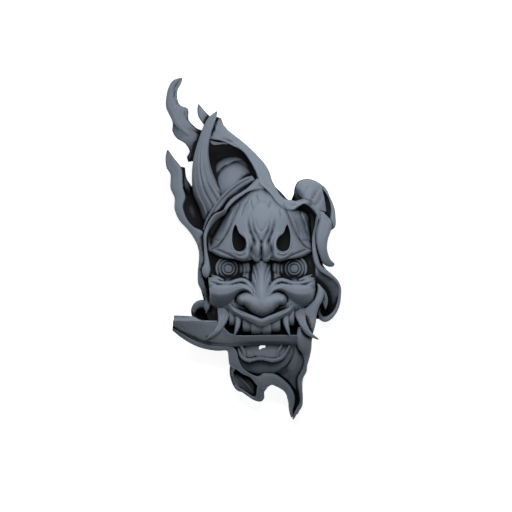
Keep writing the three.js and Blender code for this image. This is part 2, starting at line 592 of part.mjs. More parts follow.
const part = new THREE.Group();
part.name = "oni_mask_part";
part.add(maskBody);

export default part;
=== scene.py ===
# %% [markdown]
# # A horned oni mask
#
# One cast piece: a demon's face wrapped in a hood of flame-like ribbons, with a flat blade between
# its teeth. It lies on its back and the camera looks straight down on it.
#
# The mask is drawn on a squared sheet seen from the front. *Across* runs to the viewer's right,
# *down* runs towards the chin, and heights are in millimetres above the flat back. Sculpting tools
# could make such a face by hand. Here each form is a grid of numpy points made from a few of those
# numbers, and one Boolean joins all the forms, so every edge stays where the numbers put it.

import json
import math

import bpy
import numpy as np
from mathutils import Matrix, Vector

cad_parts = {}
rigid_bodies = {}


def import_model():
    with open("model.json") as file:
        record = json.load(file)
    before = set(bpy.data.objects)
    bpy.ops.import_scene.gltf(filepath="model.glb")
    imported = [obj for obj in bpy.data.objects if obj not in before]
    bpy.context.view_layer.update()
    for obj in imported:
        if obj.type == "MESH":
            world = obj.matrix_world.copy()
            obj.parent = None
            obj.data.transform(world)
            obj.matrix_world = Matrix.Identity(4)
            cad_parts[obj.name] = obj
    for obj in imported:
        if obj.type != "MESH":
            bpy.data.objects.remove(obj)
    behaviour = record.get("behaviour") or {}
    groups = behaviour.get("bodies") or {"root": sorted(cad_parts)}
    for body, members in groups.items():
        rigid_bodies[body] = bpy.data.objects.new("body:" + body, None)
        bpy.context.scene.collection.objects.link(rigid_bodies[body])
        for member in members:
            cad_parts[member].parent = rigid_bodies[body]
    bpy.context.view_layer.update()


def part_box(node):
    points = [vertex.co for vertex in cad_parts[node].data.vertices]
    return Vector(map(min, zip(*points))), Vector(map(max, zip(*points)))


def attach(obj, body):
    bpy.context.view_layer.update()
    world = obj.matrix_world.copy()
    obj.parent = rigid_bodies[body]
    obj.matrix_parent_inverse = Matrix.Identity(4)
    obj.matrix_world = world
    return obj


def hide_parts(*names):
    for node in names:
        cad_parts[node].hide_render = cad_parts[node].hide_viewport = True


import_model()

# %% [markdown]
# ## The sheet
#
# The mask's outline is 342 squares tall, and a square stands for 1.2 mm. Taking the size of a
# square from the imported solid, rather than typing it, keeps the sculpted mask on the solid.

# %% The sheet's scale and its fixed lines
OUTLINE_SQUARES = 342.0
SQUARE_MM = 1.2
low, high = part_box("oni_mask")
SQUARE = (high[1] - low[1]) / OUTLINE_SQUARES
MM = SQUARE / SQUARE_MM
MIDDLE_ACROSS = 253.33
MIDDLE_DOWN = 248.33
FACE_MIDLINE = 261.3
BELOW_BACK = -6.0
print(f"one square is {SQUARE * 1000:.3f} mm")


# %% From the sheet to metres
def place(across, down, height):
    """Sheet to metres: subtract the sheet's middle, turn down into up, and scale."""
    across, down, height = np.broadcast_arrays(across, down, height)
    x = (across - MIDDLE_ACROSS) * SQUARE
    y = (MIDDLE_DOWN - down) * SQUARE
    return np.stack([x, y, height * MM], axis=-1)


def mirrored(rows):
    """The same rows on the other side: across becomes twice the midline less across."""
    rows = np.array(rows, float)
    rows[:, 0] = 2 * FACE_MIDLINE - rows[:, 0]
    return rows


def smooth_rows(rows, per_span):
    """Rows of numbers to many rows: a uniform Catmull-Rom curve through every given row."""
    rows = np.asarray(rows, float)
    padded = np.vstack([2 * rows[0] - rows[1], rows, 2 * rows[-1] - rows[-2]])
    t = np.linspace(0, len(rows) - 1, (len(rows) - 1) * per_span + 1)
    i = np.minimum(t.astype(int), len(rows) - 2)
    u = (t - i)[:, None]
    p0, p1, p2, p3 = (padded[i + k] for k in range(4))
    return 0.5 * (
        2 * p1
        + (p2 - p0) * u
        + (2 * p0 - 5 * p1 + 4 * p2 - p3) * u**2
        + (3 * p1 - p0 - 3 * p2 + p3) * u**3
    )


print("the sheet's middle lies at", place(MIDDLE_ACROSS, MIDDLE_DOWN, 0.0).round(4))

# %% [markdown]
# ## Strokes
#
# A carver cuts wrinkles, grooves and folds into a form that is already there. Each stroke is a path
# on the sheet, and its rows read across, down, half width in squares and height in millimetres,
# negative where it is carved. A bump map would only shade them; adding them to the heights gives
# real grooves, which also turn dark later with the other deep places.

# %% Strokes on one side only
STROKES = [
  # The hook's inner edge and the crease in its bend
  [[180.5, 79.5, 0.8, -1], [176.3, 84, 0.9, -2.6], [174.2, 90, 1, -3], [174.4, 97, 1, -3],
   [176.6, 103.6, 1, -2.4], [181, 108.5, 0.9, -1]],
  [[184.5, 106.5, 0.9, -2], [185.8, 111, 1, -4], [186, 116, 1, -4], [187.8, 120, 0.8, -2]],
  # The gap between the horn's tip and the hood, then three lines along the hood's edge
  [[216.4, 120, 1, -3], [214.8, 125, 1.1, -5], [212.4, 131.5, 1, -4], [211.4, 134, 0.8, -1]],
  [[221, 137.6, 0.7, -1], [229, 140.6, 0.9, -2.6], [235, 145.4, 0.9, -2.6],
   [240.5, 149.8, 0.7, -1]],
  [[240, 143, 0.8, -0.8], [249, 150.5, 0.8, -1.4], [257, 159, 0.8, -0.8]],
  [[233, 146.5, 0.9, 1], [243, 153.5, 1, 1.6], [250, 161, 1, 1.6], [256, 170, 1, 1.4],
   [259, 178, 0.9, 0.6]],
  # The long groove in the band over the brow
  [[252, 178.4, 0.8, -1.6], [246, 180.3, 0.9, -3], [240, 183.6, 0.9, -3], [234, 188, 1, -3],
   [227, 194, 1, -3], [220.5, 201.5, 1, -3], [214, 210.5, 1, -3], [208.8, 220, 0.9, -2.4],
   [206, 228, 0.8, -1]],
  # The notch between the hood and the right horn, and the lit edge beside it
  [[295.5, 189, 1.8, -4], [297.5, 193.5, 3, -10], [300.5, 198.5, 3, -10]],
  [[296.5, 190, 0.6, 1], [301, 186.4, 0.7, 2.4], [304, 180.6, 0.6, 1]],
  # Three grooves round the right horn
  [[301, 197, 1.2, -1.4], [305.5, 190.5, 1.4, -2.6], [310, 183.5, 1.2, -1.4]],
  [[311, 201, 1.2, -2.4], [315, 194.4, 1.5, -5.6], [319, 187.5, 1.3, -2.4]],
  [[316.4, 206, 1.3, -2.4], [319.8, 199.6, 1.5, -5.6], [323, 192.5, 1.3, -2.4]],
  # Small lines at the right rim and at the hood's end
  [[328.6, 216, 0.6, -2], [328.2, 219.5, 0.8, -3.4], [328.8, 223.5, 0.6, -1]],
  [[286, 204, 0.8, -0.8], [293, 205.5, 0.9, -1.4], [299, 202.6, 0.8, -0.8]],
  # The groove under the blade
  [[184, 331.4, 1.2, -0.6], [194, 337, 1.6, -1.6], [204, 341.4, 1.7, -2.6], [220, 343.3, 1.8, -3],
   [240, 343.8, 1.6, -2.4], [262, 343.6, 1.4, -1.4]],
  # Two grooves on each tusk
  [[220.4, 307, 0.7, -0.8], [221.4, 314, 0.8, -1.6], [220.6, 321, 0.7, -1.4],
   [216.5, 328.5, 0.6, -0.8]],
  [[225.4, 307, 0.7, -0.8], [226, 314, 0.8, -1.6], [223.8, 321.5, 0.7, -1.4],
   [219, 329, 0.6, -0.8]],
  [[298, 307, 0.7, -0.8], [298.6, 314, 0.8, -1.6], [301.4, 321.5, 0.7, -1.4],
   [306, 329, 0.6, -0.8]],
  [[302.4, 307, 0.7, -0.8], [302.6, 314, 0.8, -1.6], [304.4, 321, 0.7, -1.2]],
  # A ridge inside the lower wrap, and two folds in the lobe under it
  [[238.6, 352.5, 0.7, 0.8], [240.6, 360.5, 0.8, 1.6], [245.4, 368.3, 0.8, 1.6],
   [252, 373, 0.8, 1.4], [258, 376, 0.7, 0.6]],
  [[240, 378, 1, 1.2], [246, 384, 1.4, 2.6], [252, 391, 1, 1.2]],
  [[246, 378, 1, 1], [251, 383, 1.3, 2], [254, 388, 1, 1]],
  # The groove down the wrap's tail
  [[279, 376, 0.9, -1], [285, 380, 1.2, -3], [291, 386.5, 1.3, -4], [295.4, 394, 1.4, -5],
   [296.3, 401, 1.4, -5], [294.6, 407.5, 1.2, -4], [293, 412.5, 0.8, -2]],
  # Short wrinkles on the forehead, with the midline's crease among them
  [[248.5, 198.5, 0.7, -0.8], [245, 204, 0.9, -2.4], [242, 211, 0.9, -2.4],
   [240.6, 217, 0.6, -0.8]],
  [[250.6, 198, 0.6, -0.8], [251, 204, 0.8, -2.4], [252.5, 209.5, 0.6, -0.8]],
  [[256.5, 192, 0.6, -0.7], [257, 198, 0.7, -1.8], [259, 203, 0.5, -0.7]],
  [[261.3, 240.5, 0.6, -1], [261.3, 244.5, 0.8, -3.4], [261.3, 250, 1, -5], [261.3, 255, 1.4, -5.5],
   [261.3, 259, 1.8, -4], [261.3, 262, 1.4, -2]],
  [[270.5, 199, 0.6, -0.8], [270, 204, 0.8, -2.4], [268.6, 209.5, 0.6, -0.8]],
  [[280, 209, 0.6, -0.8], [280.4, 214, 0.8, -2.4], [281.2, 219, 0.5, -0.8]],
  # Deep grooves at the temples, and two fine lines beside the right one
  [[311, 206, 3.6, -8], [312, 217, 4.5, -14], [312.6, 229, 3.6, -13], [313, 240, 2.4, -8],
   [313, 247, 1.4, -3]],
  [[228, 212, 2.4, -8], [221.5, 218.5, 4.4, -19], [216.5, 225.5, 5, -22], [213, 233, 4.2, -19],
   [211.4, 240, 2.6, -10], [210.6, 246, 1.4, -3]],
  [[298, 207, 0.9, -1.2], [302, 216, 1, -3], [305.5, 226, 1, -3], [307.5, 236, 0.8, -1.4]],
  [[291, 211, 0.6, -1], [295, 220, 0.7, -2.2], [299, 230, 0.7, -2.2], [301.5, 237, 0.6, -1]],
  # The crease beside the chin
  [[293.2, 347, 0.8, -1], [294, 352.5, 0.9, -2.8], [292.2, 358.5, 0.9, -3.2],
   [288, 364.3, 0.9, -3.2], [282, 369, 0.9, -2.8], [276, 372.3, 0.8, -1.4]],
  # The groove round the window's dome
  [[216.5, 176, 1, -1.6], [219, 172, 1.2, -3.4], [223, 168, 1.3, -4], [228, 164.8, 1.3, -4],
   [234, 162, 1.3, -4], [240, 160.6, 1.2, -3], [244, 161, 1, -1.4]],
]
print(len(STROKES), "strokes on one side")

# %% Strokes that both halves of the face share
PAIRED_STROKES = [
  # The brow line, and a shallow line over it
  [[239, 205, 0.8, -2.6], [236.3, 211, 0.9, -4.6], [233, 219, 0.9, -5], [230, 226.5, 0.9, -5],
   [226.5, 234, 0.9, -5], [222, 241, 0.9, -4.6], [217, 246.8, 0.9, -4], [211, 249.8, 0.8, -2.4]],
  [[235.5, 207, 0.7, -1.2], [232, 215, 0.8, -1.6], [228.5, 224, 0.7, -1]],
  # The line under the brow's outer end
  [[215, 249.7, 0.7, -1.4], [219, 250.7, 0.9, -3.4], [225, 253, 0.9, -5], [231, 255.8, 0.9, -5],
   [236.5, 258.6, 0.9, -4]],
  # The two lines of the frown, and the bow between them
  [[247.3, 216, 0.8, -0.4], [247.8, 223, 1.1, -2.4], [249.6, 230, 1.2, -3.6], [252.6, 237, 1.2, -5],
   [254.1, 242.5, 1.4, -6.5], [252, 247.5, 1.3, -5.5], [251, 253, 1.2, -4.5],
   [250.7, 262, 1.2, -3]],
  [[252.2, 218, 0.8, -0.4], [252.9, 225, 1, -2.2], [254.7, 231.5, 1.1, -4.6], [258, 237.4, 1.1, -5],
   [260.7, 242.4, 0.9, -2.4]],
  [[255.6, 221, 0.8, -0.6], [257, 226.5, 1, -1], [259, 229.6, 1, -1], [261.3, 230.6, 1, -0.8]],
  # The rim round the lower end of each pocket, and the line below it
  [[231.4, 241, 0.7, 0.8], [232.4, 247.5, 0.9, 2], [235.5, 252.2, 1, 2.8], [240, 253.9, 1, 3],
   [244.6, 252.3, 0.9, 2.4], [247.4, 247.6, 0.7, 1]],
  [[233.5, 253.5, 0.7, -0.8], [239.5, 256.2, 0.8, -1.4], [246, 254.3, 0.7, -0.8]],
  # Three fine wrinkles on the temple, and one near the brow's outer end
  [[216.5, 216, 0.6, -0.5], [214, 226, 0.8, -1.2], [211, 238, 0.7, -0.8]],
  [[222, 213, 0.6, -0.5], [219, 224, 0.8, -1.2], [214, 236, 0.7, -0.8]],
  [[227, 214, 0.6, -0.5], [224, 224, 0.8, -1.2], [218.5, 236, 0.7, -0.8]],
  [[211.5, 242.5, 0.7, -1.4], [215, 240.3, 0.8, -1.6], [219.5, 240.8, 0.7, -1.2]],
  # Lines beside the bridge of the nose
  [[258.3, 262, 0.7, -1], [260, 268, 0.7, -1.6], [260.8, 273, 0.5, -0.8]],
  [[253.8, 262, 1.1, -3], [255.4, 268, 1.1, -3.4], [257, 275, 0.9, -2.6], [257.8, 281, 0.5, -1]],
  [[251.4, 267, 1.1, -2.6], [253.2, 272, 1, -3.4], [255.2, 278, 0.9, -2.8],
   [256.6, 284.5, 0.5, -1]],
  [[248.8, 275.5, 1, -2.4], [251.4, 280, 0.9, -2.8], [253.8, 285, 0.8, -2.2],
   [255.2, 290, 0.5, -0.8]],
  # The long line under the eye, and a short one at its end
  [[209.5, 281.6, 0.8, -2], [215, 283.5, 0.9, -3], [220, 285, 0.9, -3], [226, 285.7, 0.9, -3],
   [231, 285.3, 0.9, -3], [236, 283.8, 0.9, -3], [240.5, 283.1, 0.9, -3], [244.3, 284, 0.9, -3],
   [247.5, 286.6, 0.9, -2.8], [250.6, 290, 0.8, -2.2], [252.8, 293.5, 0.6, -1.2]],
  [[252.4, 284, 0.6, -1], [254, 288, 0.7, -1.6], [255.2, 292.5, 0.5, -0.8]],
  # Three lines at the eye's inner corner
  [[240.6, 260.5, 0.9, -2], [242.2, 265.5, 1, -3.4], [242.2, 271.5, 1, -3.4],
   [240.8, 276.6, 0.9, -1.6]],
  [[244.4, 261.5, 0.6, -1], [245.8, 266, 0.6, -2], [246.2, 272, 0.6, -2], [245.2, 277, 0.5, -1]],
  [[250.6, 261.5, 1.2, -1.4], [251.4, 267, 1.3, -2], [250.8, 273, 1.1, -1.4],
   [249.4, 277.6, 0.8, -0.8]],
  # The wing of the nose
  [[234.8, 302, 1, -3], [236, 297.5, 1.1, -4], [239, 293.6, 1.1, -4], [243, 291.4, 1.1, -4],
   [247.3, 291.3, 1.1, -4], [250.8, 293.3, 1, -3.4], [253, 296.8, 0.7, -1.6]],
  # Two lines over the upper lip
  [[230.8, 304.5, 0.7, -1.4], [234, 309, 0.7, -1.8], [239.5, 312.4, 0.7, -1.6],
   [246, 315.7, 0.6, -0.8]],
  [[229.3, 306.5, 0.6, -1.4], [232.3, 311.3, 0.7, -1.8], [238, 314.8, 0.7, -1.6],
   [244, 317.6, 0.6, -0.8]],
]
STROKE_SPANS = 4
ALL_STROKES = [smooth_rows(rows, STROKE_SPANS) for rows in STROKES + PAIRED_STROKES]
ALL_STROKES += [smooth_rows(mirrored(rows), STROKE_SPANS) for rows in PAIRED_STROKES]
print(len(ALL_STROKES), "strokes in all")


# %% Distance from a path
def nearest(path, across, down):
    """For each point, the nearest place on a path: how far, its side from -1 to 1, and the row."""
    best = np.full(across.shape, 1e9)
    side = np.zeros(across.shape)
    values = np.zeros((*across.shape, path.shape[1] - 2))
    for a, b in zip(path[:-1], path[1:]):
        step = b - a
        from_a = across - a[0], down - a[1]
        share = (from_a[0] * step[0] + from_a[1] * step[1]) / max(step[:2] @ step[:2], 1e-9)
        share = np.clip(share, 0, 1)
        away = np.hypot(from_a[0] - share * step[0], from_a[1] - share * step[1])
        closer = away < best
        best[closer] = away[closer]
        off_line = (from_a[1] * step[0] - from_a[0] * step[1]) / max(math.hypot(*step[:2]), 1e-9)
        side[closer] = np.clip(off_line / np.maximum(away, 1e-9), -1, 1)[closer]
        values[closer] = (a[2:] + share[..., None] * step[2:])[closer]
    return best, side, values


def within(path, margin, across, down):
    """The points that lie in the path's box, grown by a margin."""
    low_corner, high_corner = path[:, :2].min(0) - margin, path[:, :2].max(0) + margin
    return (
        (across > low_corner[0]) & (across < high_corner[0])
        & (down > low_corner[1]) & (down < high_corner[1])
    )


def relief(across, down):
    """Height added by the strokes: each one's height times a bell curve of distance over width."""
    across, down = np.broadcast_arrays(np.asarray(across, float), np.asarray(down, float))
    total = np.zeros(across.shape)
    for path in ALL_STROKES:
        near = within(path, 3 * path[:, 2].max(), across, down)
        if near.any():
            away, _, values = nearest(path, across[near], down[near])
            total[near] += values[..., 1] * np.exp(-(away / values[..., 0]) ** 2)
    return total


print("the brow line is", -relief([230.0], [226.5]).round(1)[0], "mm deep at its middle")

# %% [markdown]
# ## From rings to closed solids
#
# A Boolean needs closed solids. Every form is a stack of rings with an equal number of points in
# each, joined by quads and closed by a fan of triangles at both ends, which works alike for a
# ribbon, a tooth and a face. The signed volume tells whether the faces point outwards.

# %% The two groups and the solid maker
forms = bpy.data.collections.new("forms")
cutters = bpy.data.collections.new("cutters")


def signed_volume(points, faces):
    """Six times the volume: the sum of a . (b x c) over triangles; positive if faces point out."""
    a, b, c = (points[faces[:, k]] for k in range(3))
    return np.einsum("ij,ij->i", a, np.cross(b, c)).sum()


def solid(name, rings, collection):
    """A closed mesh: quads join ring to ring, and a fan to a middle point ends each end."""
    count, size, _ = rings.shape
    points = np.vstack([rings.reshape(-1, 3), rings[0].mean(0), rings[-1].mean(0)])
    row, slot = np.meshgrid(np.arange(count - 1), np.arange(size), indexing="ij")
    here = (row * size + slot).ravel()
    beside = (row * size + (slot + 1) % size).ravel()
    quads = np.stack([here, beside, beside + size, here + size], axis=1)
    k = np.arange(size)
    after = (k + 1) % size
    last = (count - 1) * size
    fans = np.vstack([
        np.stack([np.full(size, count * size), after, k], axis=1),
        np.stack([np.full(size, count * size + 1), last + k, last + after], axis=1),
    ])
    triangles = np.vstack([quads[:, [0, 1, 2]], quads[:, [0, 2, 3]], fans])
    if signed_volume(points, triangles) < 0:
        quads, fans = quads[:, ::-1], fans[:, ::-1]
    mesh = bpy.data.meshes.new(name)
    mesh.from_pydata(points.tolist(), [], quads.tolist() + fans.tolist())
    made = bpy.data.objects.new(name, mesh)
    collection.objects.link(made)
    return made


def spans_for(rows, step):
    """Samples in each span, so that neighbouring samples are about one step apart on the sheet."""
    rows = np.asarray(rows, float)
    middle = rows[:, :2] + rows[:, 2:4]
    length = np.linalg.norm(np.diff(middle / 2, axis=0), axis=1).sum()
    return max(2, math.ceil(length / step / (len(rows) - 1)))


print("a step of 1 splits a span of 10 squares into", spans_for([[0, 0, 0, 0], [10, 0, 10, 0]], 1))

# %% [markdown]
# ## The ribbons
#
# The hood is cut like flames: bands with flat crowned tops, thin edges and deep gaps between them.
# A curve with a bevel gives a band of one width only. Here a ribbon is ruled between two edges, so
# that it can widen, twist and end in a point. Each row reads across and down of one edge, across
# and down of the other, and the height of the crown. `drop` is how far the edges fall below the
# crown, `tilt` leans the top to one side, and `under` gives the height of the underside at both
# ends, where 0 means down to the flat back.

# %% The ribbons' edges
RIBBONS = {
  "hook_flame": {
    "drop": 7.5, "under": [12, 0], "tilt": -3,
    "rows": [[181.5, 77.3, 182.5, 79, 24], [173, 80.5, 181, 84, 27], [168.5, 87.5, 177.8, 90, 29],
      [166.3, 97, 177.3, 97.5, 30], [165.8, 105, 180, 105, 31], [167.5, 111, 188, 109, 32],
      [171.5, 119, 188.5, 119, 33], [177, 127, 192, 124, 35], [186, 135, 198, 129, 37],
      [198, 140, 206, 131, 38]],
  },
  "hook_flank": {
    "drop": 2, "under": [4, 2], "tilt": 13,
    "rows": [[166, 108, 176, 108, 26], [172.5, 122, 180, 118, 28], [172.5, 131, 186, 127, 30],
      [177, 138.5, 196, 133, 35], [185, 143.5, 203, 140, 41], [189.5, 151, 202, 151, 41],
      [187, 157, 197.5, 158, 37], [188.3, 162, 194, 161, 32]],
  },
  "small_tongue": {
    "drop": 7, "under": [14, 6],
    "rows": [[198.2, 103.8, 199, 104, 36], [197.3, 110, 203.5, 109.5, 41],
      [198.5, 117, 209, 115.5, 46], [203, 123.5, 214, 120, 50], [206, 129, 218, 127, 50]],
  },
  "hood_edge": {
    "drop": 8, "under": [10, 0], "tilt": -6, "flatness": 4.5,
    "rows": [[214, 116, 221, 118, 47], [209, 128, 225, 127, 49], [209, 138, 233, 134, 50],
      [221, 141, 242, 141, 50], [232, 145.5, 250, 148, 54], [242, 151, 258, 156, 57],
      [249, 160, 265, 164, 60], [254, 169, 269.5, 172, 64], [257, 177, 272, 180, 67],
      [259, 184, 275, 186, 70], [264, 188, 277.5, 191, 72], [270, 194.5, 281, 196, 72],
      [277, 204, 286, 199.5, 72], [285, 210, 291, 200, 71], [293, 210.5, 296, 201, 69],
      [300, 206, 301, 199, 67], [305, 204, 307, 199.5, 66], [311, 208.5, 314, 203, 63],
      [316, 215, 320, 209, 59], [318.5, 220, 325, 213, 56]],
  },
  "window_ledge": {
    "drop": 2, "under": [28, 34],
    "rows": [[209.5, 142, 210.5, 139.5, 38], [213, 144.8, 214, 141.2, 39],
      [217, 145, 218.5, 142, 40], [222, 144.2, 224, 142.2, 42], [227, 144.4, 228, 143.4, 44]],
  },
  "brow_band": {
    "drop": 7, "under": [0, 0],
    "rows": [[257, 178, 268, 189, 69], [247, 188, 251, 191, 67], [238, 194, 242, 196, 66],
      [231, 199, 234, 202, 65], [226, 205, 228.5, 208, 64], [222.5, 210.5, 225, 214.5, 63],
      [215, 213.5, 218, 219.5, 61], [210, 219, 211.5, 226.5, 60], [206, 227, 207.5, 234, 58],
      [203.5, 235, 206.5, 242, 56], [204, 248, 207.5, 252, 55], [204.5, 262, 209.5, 262, 56],
      [202, 269, 210.5, 270, 57], [203, 275, 209, 276, 55], [205.5, 278, 206.5, 278.5, 51]],
  },
  "left_flame": {
    "drop": 7, "under": [10, 0], "tilt": 5,
    "rows": [[167, 150, 168.5, 150, 22], [165.5, 158, 174, 158, 26], [166.5, 167.5, 181, 167, 29],
      [170.5, 175, 182.5, 174, 31], [170.5, 188, 183, 187, 33], [174.5, 198, 185.5, 197, 35],
      [174.5, 209, 183, 207, 37], [179, 220, 187, 219, 39], [187, 229, 194, 227, 41],
      [193, 237, 202, 231, 43], [198, 247, 206, 238, 44], [199, 256, 206, 250, 44],
      [198.5, 264, 206, 262, 44], [197.7, 273, 205, 272, 44], [198, 283, 204.5, 282, 44],
      [201, 290, 208, 291, 45], [205, 299, 211, 300, 47], [203.5, 306, 210, 307, 48],
      [205.5, 313, 206.5, 313, 44]],
  },
  "left_flame_inner": {
    "drop": 7.5, "under": [6, 0],
    "rows": [[181, 166.5, 185, 167.5, 18], [182, 176, 186.5, 178, 19], [183, 186, 191.5, 187, 18],
      [184, 196, 191, 198, 10], [184, 206, 190, 206, 5]],
  },
  "left_curl": {
    "drop": 7, "under": [0, 12],
    "rows": [[209, 300, 210, 308, 44], [203, 299.7, 205, 309, 42], [197, 301, 201, 308, 39],
      [193, 304.5, 197.2, 310, 37], [191, 310, 195.5, 313, 36], [192, 316, 196, 317, 36],
      [195, 321, 198.5, 321, 36]],
  },
  "lower_wrap": {
    "drop": 7, "under": [24, 8], "tilt": -4,
    "rows": [[172.5, 327, 172.5, 330.5, 45], [181, 332, 179, 336, 48], [191, 338.5, 188, 342, 51],
      [200, 342.5, 196, 346, 53], [210, 345, 205, 349, 54], [220, 345.7, 217, 350.8, 54],
      [229, 345.8, 226, 350.6, 54], [234.5, 348, 228, 353, 53], [237.8, 353, 228.6, 360, 52],
      [239.5, 360, 230, 366, 50], [242.5, 366.5, 236, 369, 49], [247.5, 371.5, 243, 374, 49],
      [253.5, 375, 251, 378, 49], [259, 376, 257.5, 386, 49], [263, 373, 263, 389.5, 49],
      [267, 372.7, 268, 387, 49], [272, 373, 271.5, 385, 48], [277, 375, 275, 386, 46.5],
      [283, 379, 280, 388.5, 43], [290, 386, 285, 392.5, 38], [294.5, 395, 288, 400, 34],
      [295, 403, 288.5, 407, 30], [293, 410, 289.5, 413, 27], [293, 416.5, 291, 417.8, 23]],
  },
  "lower_lobe": {
    "drop": 7, "under": [0, 0], "tilt": 8,
    "rows": [[230, 364, 237, 367, 42], [229.5, 372, 234, 373, 32], [231, 380, 236, 381, 28],
      [234, 387, 239, 386.5, 30], [238, 391, 243, 389.5, 30], [244, 393, 248, 393, 30],
      [250, 398, 252, 395.5, 30], [256, 401, 255, 396.5, 30], [261, 401.5, 256, 394, 31],
      [264.3, 398, 256.5, 390, 36], [264.3, 392, 257.5, 386, 42], [267.2, 388, 258, 382, 47],
      [267.5, 383, 259, 378.5, 48]],
  },
  "right_leg": {
    "drop": 7, "under": [0, 8],
    "rows": [[298, 327, 314.6, 327, 66], [296.5, 337, 312, 338, 67], [297.6, 347, 311.5, 348, 61],
      [302, 354, 309.8, 357, 51], [304, 361, 307.5, 365, 47], [302.5, 368, 306.5, 372, 43],
      [300, 373, 304, 376.5, 40], [297.5, 378, 302.7, 381, 37], [297.5, 386, 302.5, 389, 35],
      [299, 394, 303, 397, 32], [299.5, 402, 302.5, 405, 29], [296.5, 408, 300, 410, 27],
      [293.4, 414, 296.5, 415, 25], [292.2, 419, 293.8, 419.5, 22]],
  },
  "right_sheet": {
    "drop": 7.5, "under": [0, 0],
    "rows": [[317, 283, 320, 285, 56], [317.5, 290, 324, 291, 58], [315, 298, 323, 299, 60],
      [309, 305, 320, 305, 61], [304, 310, 318, 310, 62], [302, 318, 316.5, 316, 63],
      [301, 326, 315.8, 323, 65], [298, 334, 313.5, 332, 66]],
  },
  "curl_tongue": {
    "drop": 7, "under": [10, 22],
    "rows": [[317, 284, 320, 285, 54], [319, 291, 325.5, 291.5, 52], [320.5, 298, 328, 299, 49],
      [323, 305, 327.3, 305.5, 45], [325.3, 309.5, 325.8, 309.5, 40]],
  },
  "right_ribbon": {
    "drop": 7, "under": [0, 4],
    "rows": [[316, 215, 319.5, 216, 59], [314.5, 225, 317.5, 225, 58], [312.3, 235, 315.5, 235, 57],
      [312, 246, 316, 246, 56], [312.7, 257, 318.5, 257, 55], [315, 265, 321, 265, 54],
      [319, 271, 327, 270, 52], [326, 275.5, 333, 275, 50], [333, 280, 338.5, 281, 47],
      [338, 287, 341.2, 288, 43], [338.3, 295, 341, 296, 40], [336.8, 303, 340, 304, 38],
      [334, 310, 337, 312, 37], [329, 315, 331, 319.5, 37], [324, 316.5, 324.5, 322, 37],
      [320.7, 312.5, 319, 319, 38], [320.3, 307, 317.5, 314, 40]],
  },
  "right_flap": {
    "drop": 7, "under": [0, 26],
    "rows": [[319.5, 211, 324, 213, 60], [319, 221, 331, 221, 61], [316.1, 230, 331, 230, 62],
      [316, 240, 328, 239, 62], [317.5, 249, 327, 248, 60], [320, 257, 328.5, 255, 56],
      [322.5, 263, 331, 260, 51], [328, 266.5, 334.5, 263.5, 45], [333, 266.7, 334.2, 265.5, 41]],
  },
  "right_rim": {
    "drop": 7, "under": [4, 0],
    "rows": [[317, 184.5, 319, 182.5, 26], [323, 190, 325.5, 188.5, 29], [328, 197, 331, 199, 32],
      [330.5, 206, 334.3, 207.5, 35], [330.5, 214, 335.5, 216, 38], [329, 220, 335.5, 226, 42],
      [327, 226, 331, 230.5, 46]],
  },
  "temple_roll": {
    "drop": 9, "under": [0, 0], "flatness": 2, "tilt": -8,
    "rows": [[202.5, 230, 206, 231, 42], [206, 219, 211, 223, 46], [212, 208.5, 219, 213.5, 49],
      [219, 198, 227, 205, 51], [227, 189.5, 235, 197.5, 53], [236, 182.5, 243, 191, 54],
      [245, 177.5, 250.5, 186, 55], [252, 175.5, 257, 182.5, 56]],
  },
}
print(len(RIBBONS), "ribbons are drawn")

# %% The ribbon maker
SIDE_STEPS = 3
ON_THE_BACK = 0.3


def ribbon(name, drop, under, rows, step=1.2, tilt=0.0, flatness=5.0, across_steps=11):
    """Rings over the top, down one side, along the underside and up the other side.
    The top is the crown less drop times (1 - sqrt(1 - |2s - 1| ** flatness)), s running across it.
    """
    given = np.asarray(rows, float)
    lift = np.linspace(under[0], under[1], len(given))[:, None]
    dense = smooth_rows(np.hstack([given, lift]), spans_for(rows, step))
    ax, ay, bx, by, crown, base = (dense[:, [k]] for k in range(6))
    base = np.where(base > ON_THE_BACK, base, BELOW_BACK)
    share = 0.5 - 0.5 * np.cos(np.linspace(0, math.pi, across_steps + 1))[None, :]
    across, down = ax + (bx - ax) * share, ay + (by - ay) * share
    rise = (1 - np.abs(2 * share - 1) ** flatness) ** 0.5
    height = crown + drop * (rise - 1) + tilt * (share - 0.5) + relief(across, down)
    top = place(across, down, height)
    fall = np.linspace(0, 1, SIDE_STEPS + 1)[None, 1:]
    far = place(bx, by, height[:, [-1]] + (base - height[:, [-1]]) * fall)
    near = place(ax, ay, height[:, [0]] + (base - height[:, [0]]) * fall)
    solid(name, np.concatenate([top, far, near[:, ::-1]], axis=1), forms)


for name, made in RIBBONS.items():
    ribbon(name, **made)

# %% [markdown]
# ## Horns, tusks and fangs
#
# All of these taper and bend. A cone with bend modifiers would be hard to fit to the outline, so a
# spike's rings are ellipses between two edges, like a ribbon with a round section. The last two
# numbers of a row are the height of its middle and half its depth. The long horn is ribbed along
# its length, and a ripple round its rings gives the ribs.

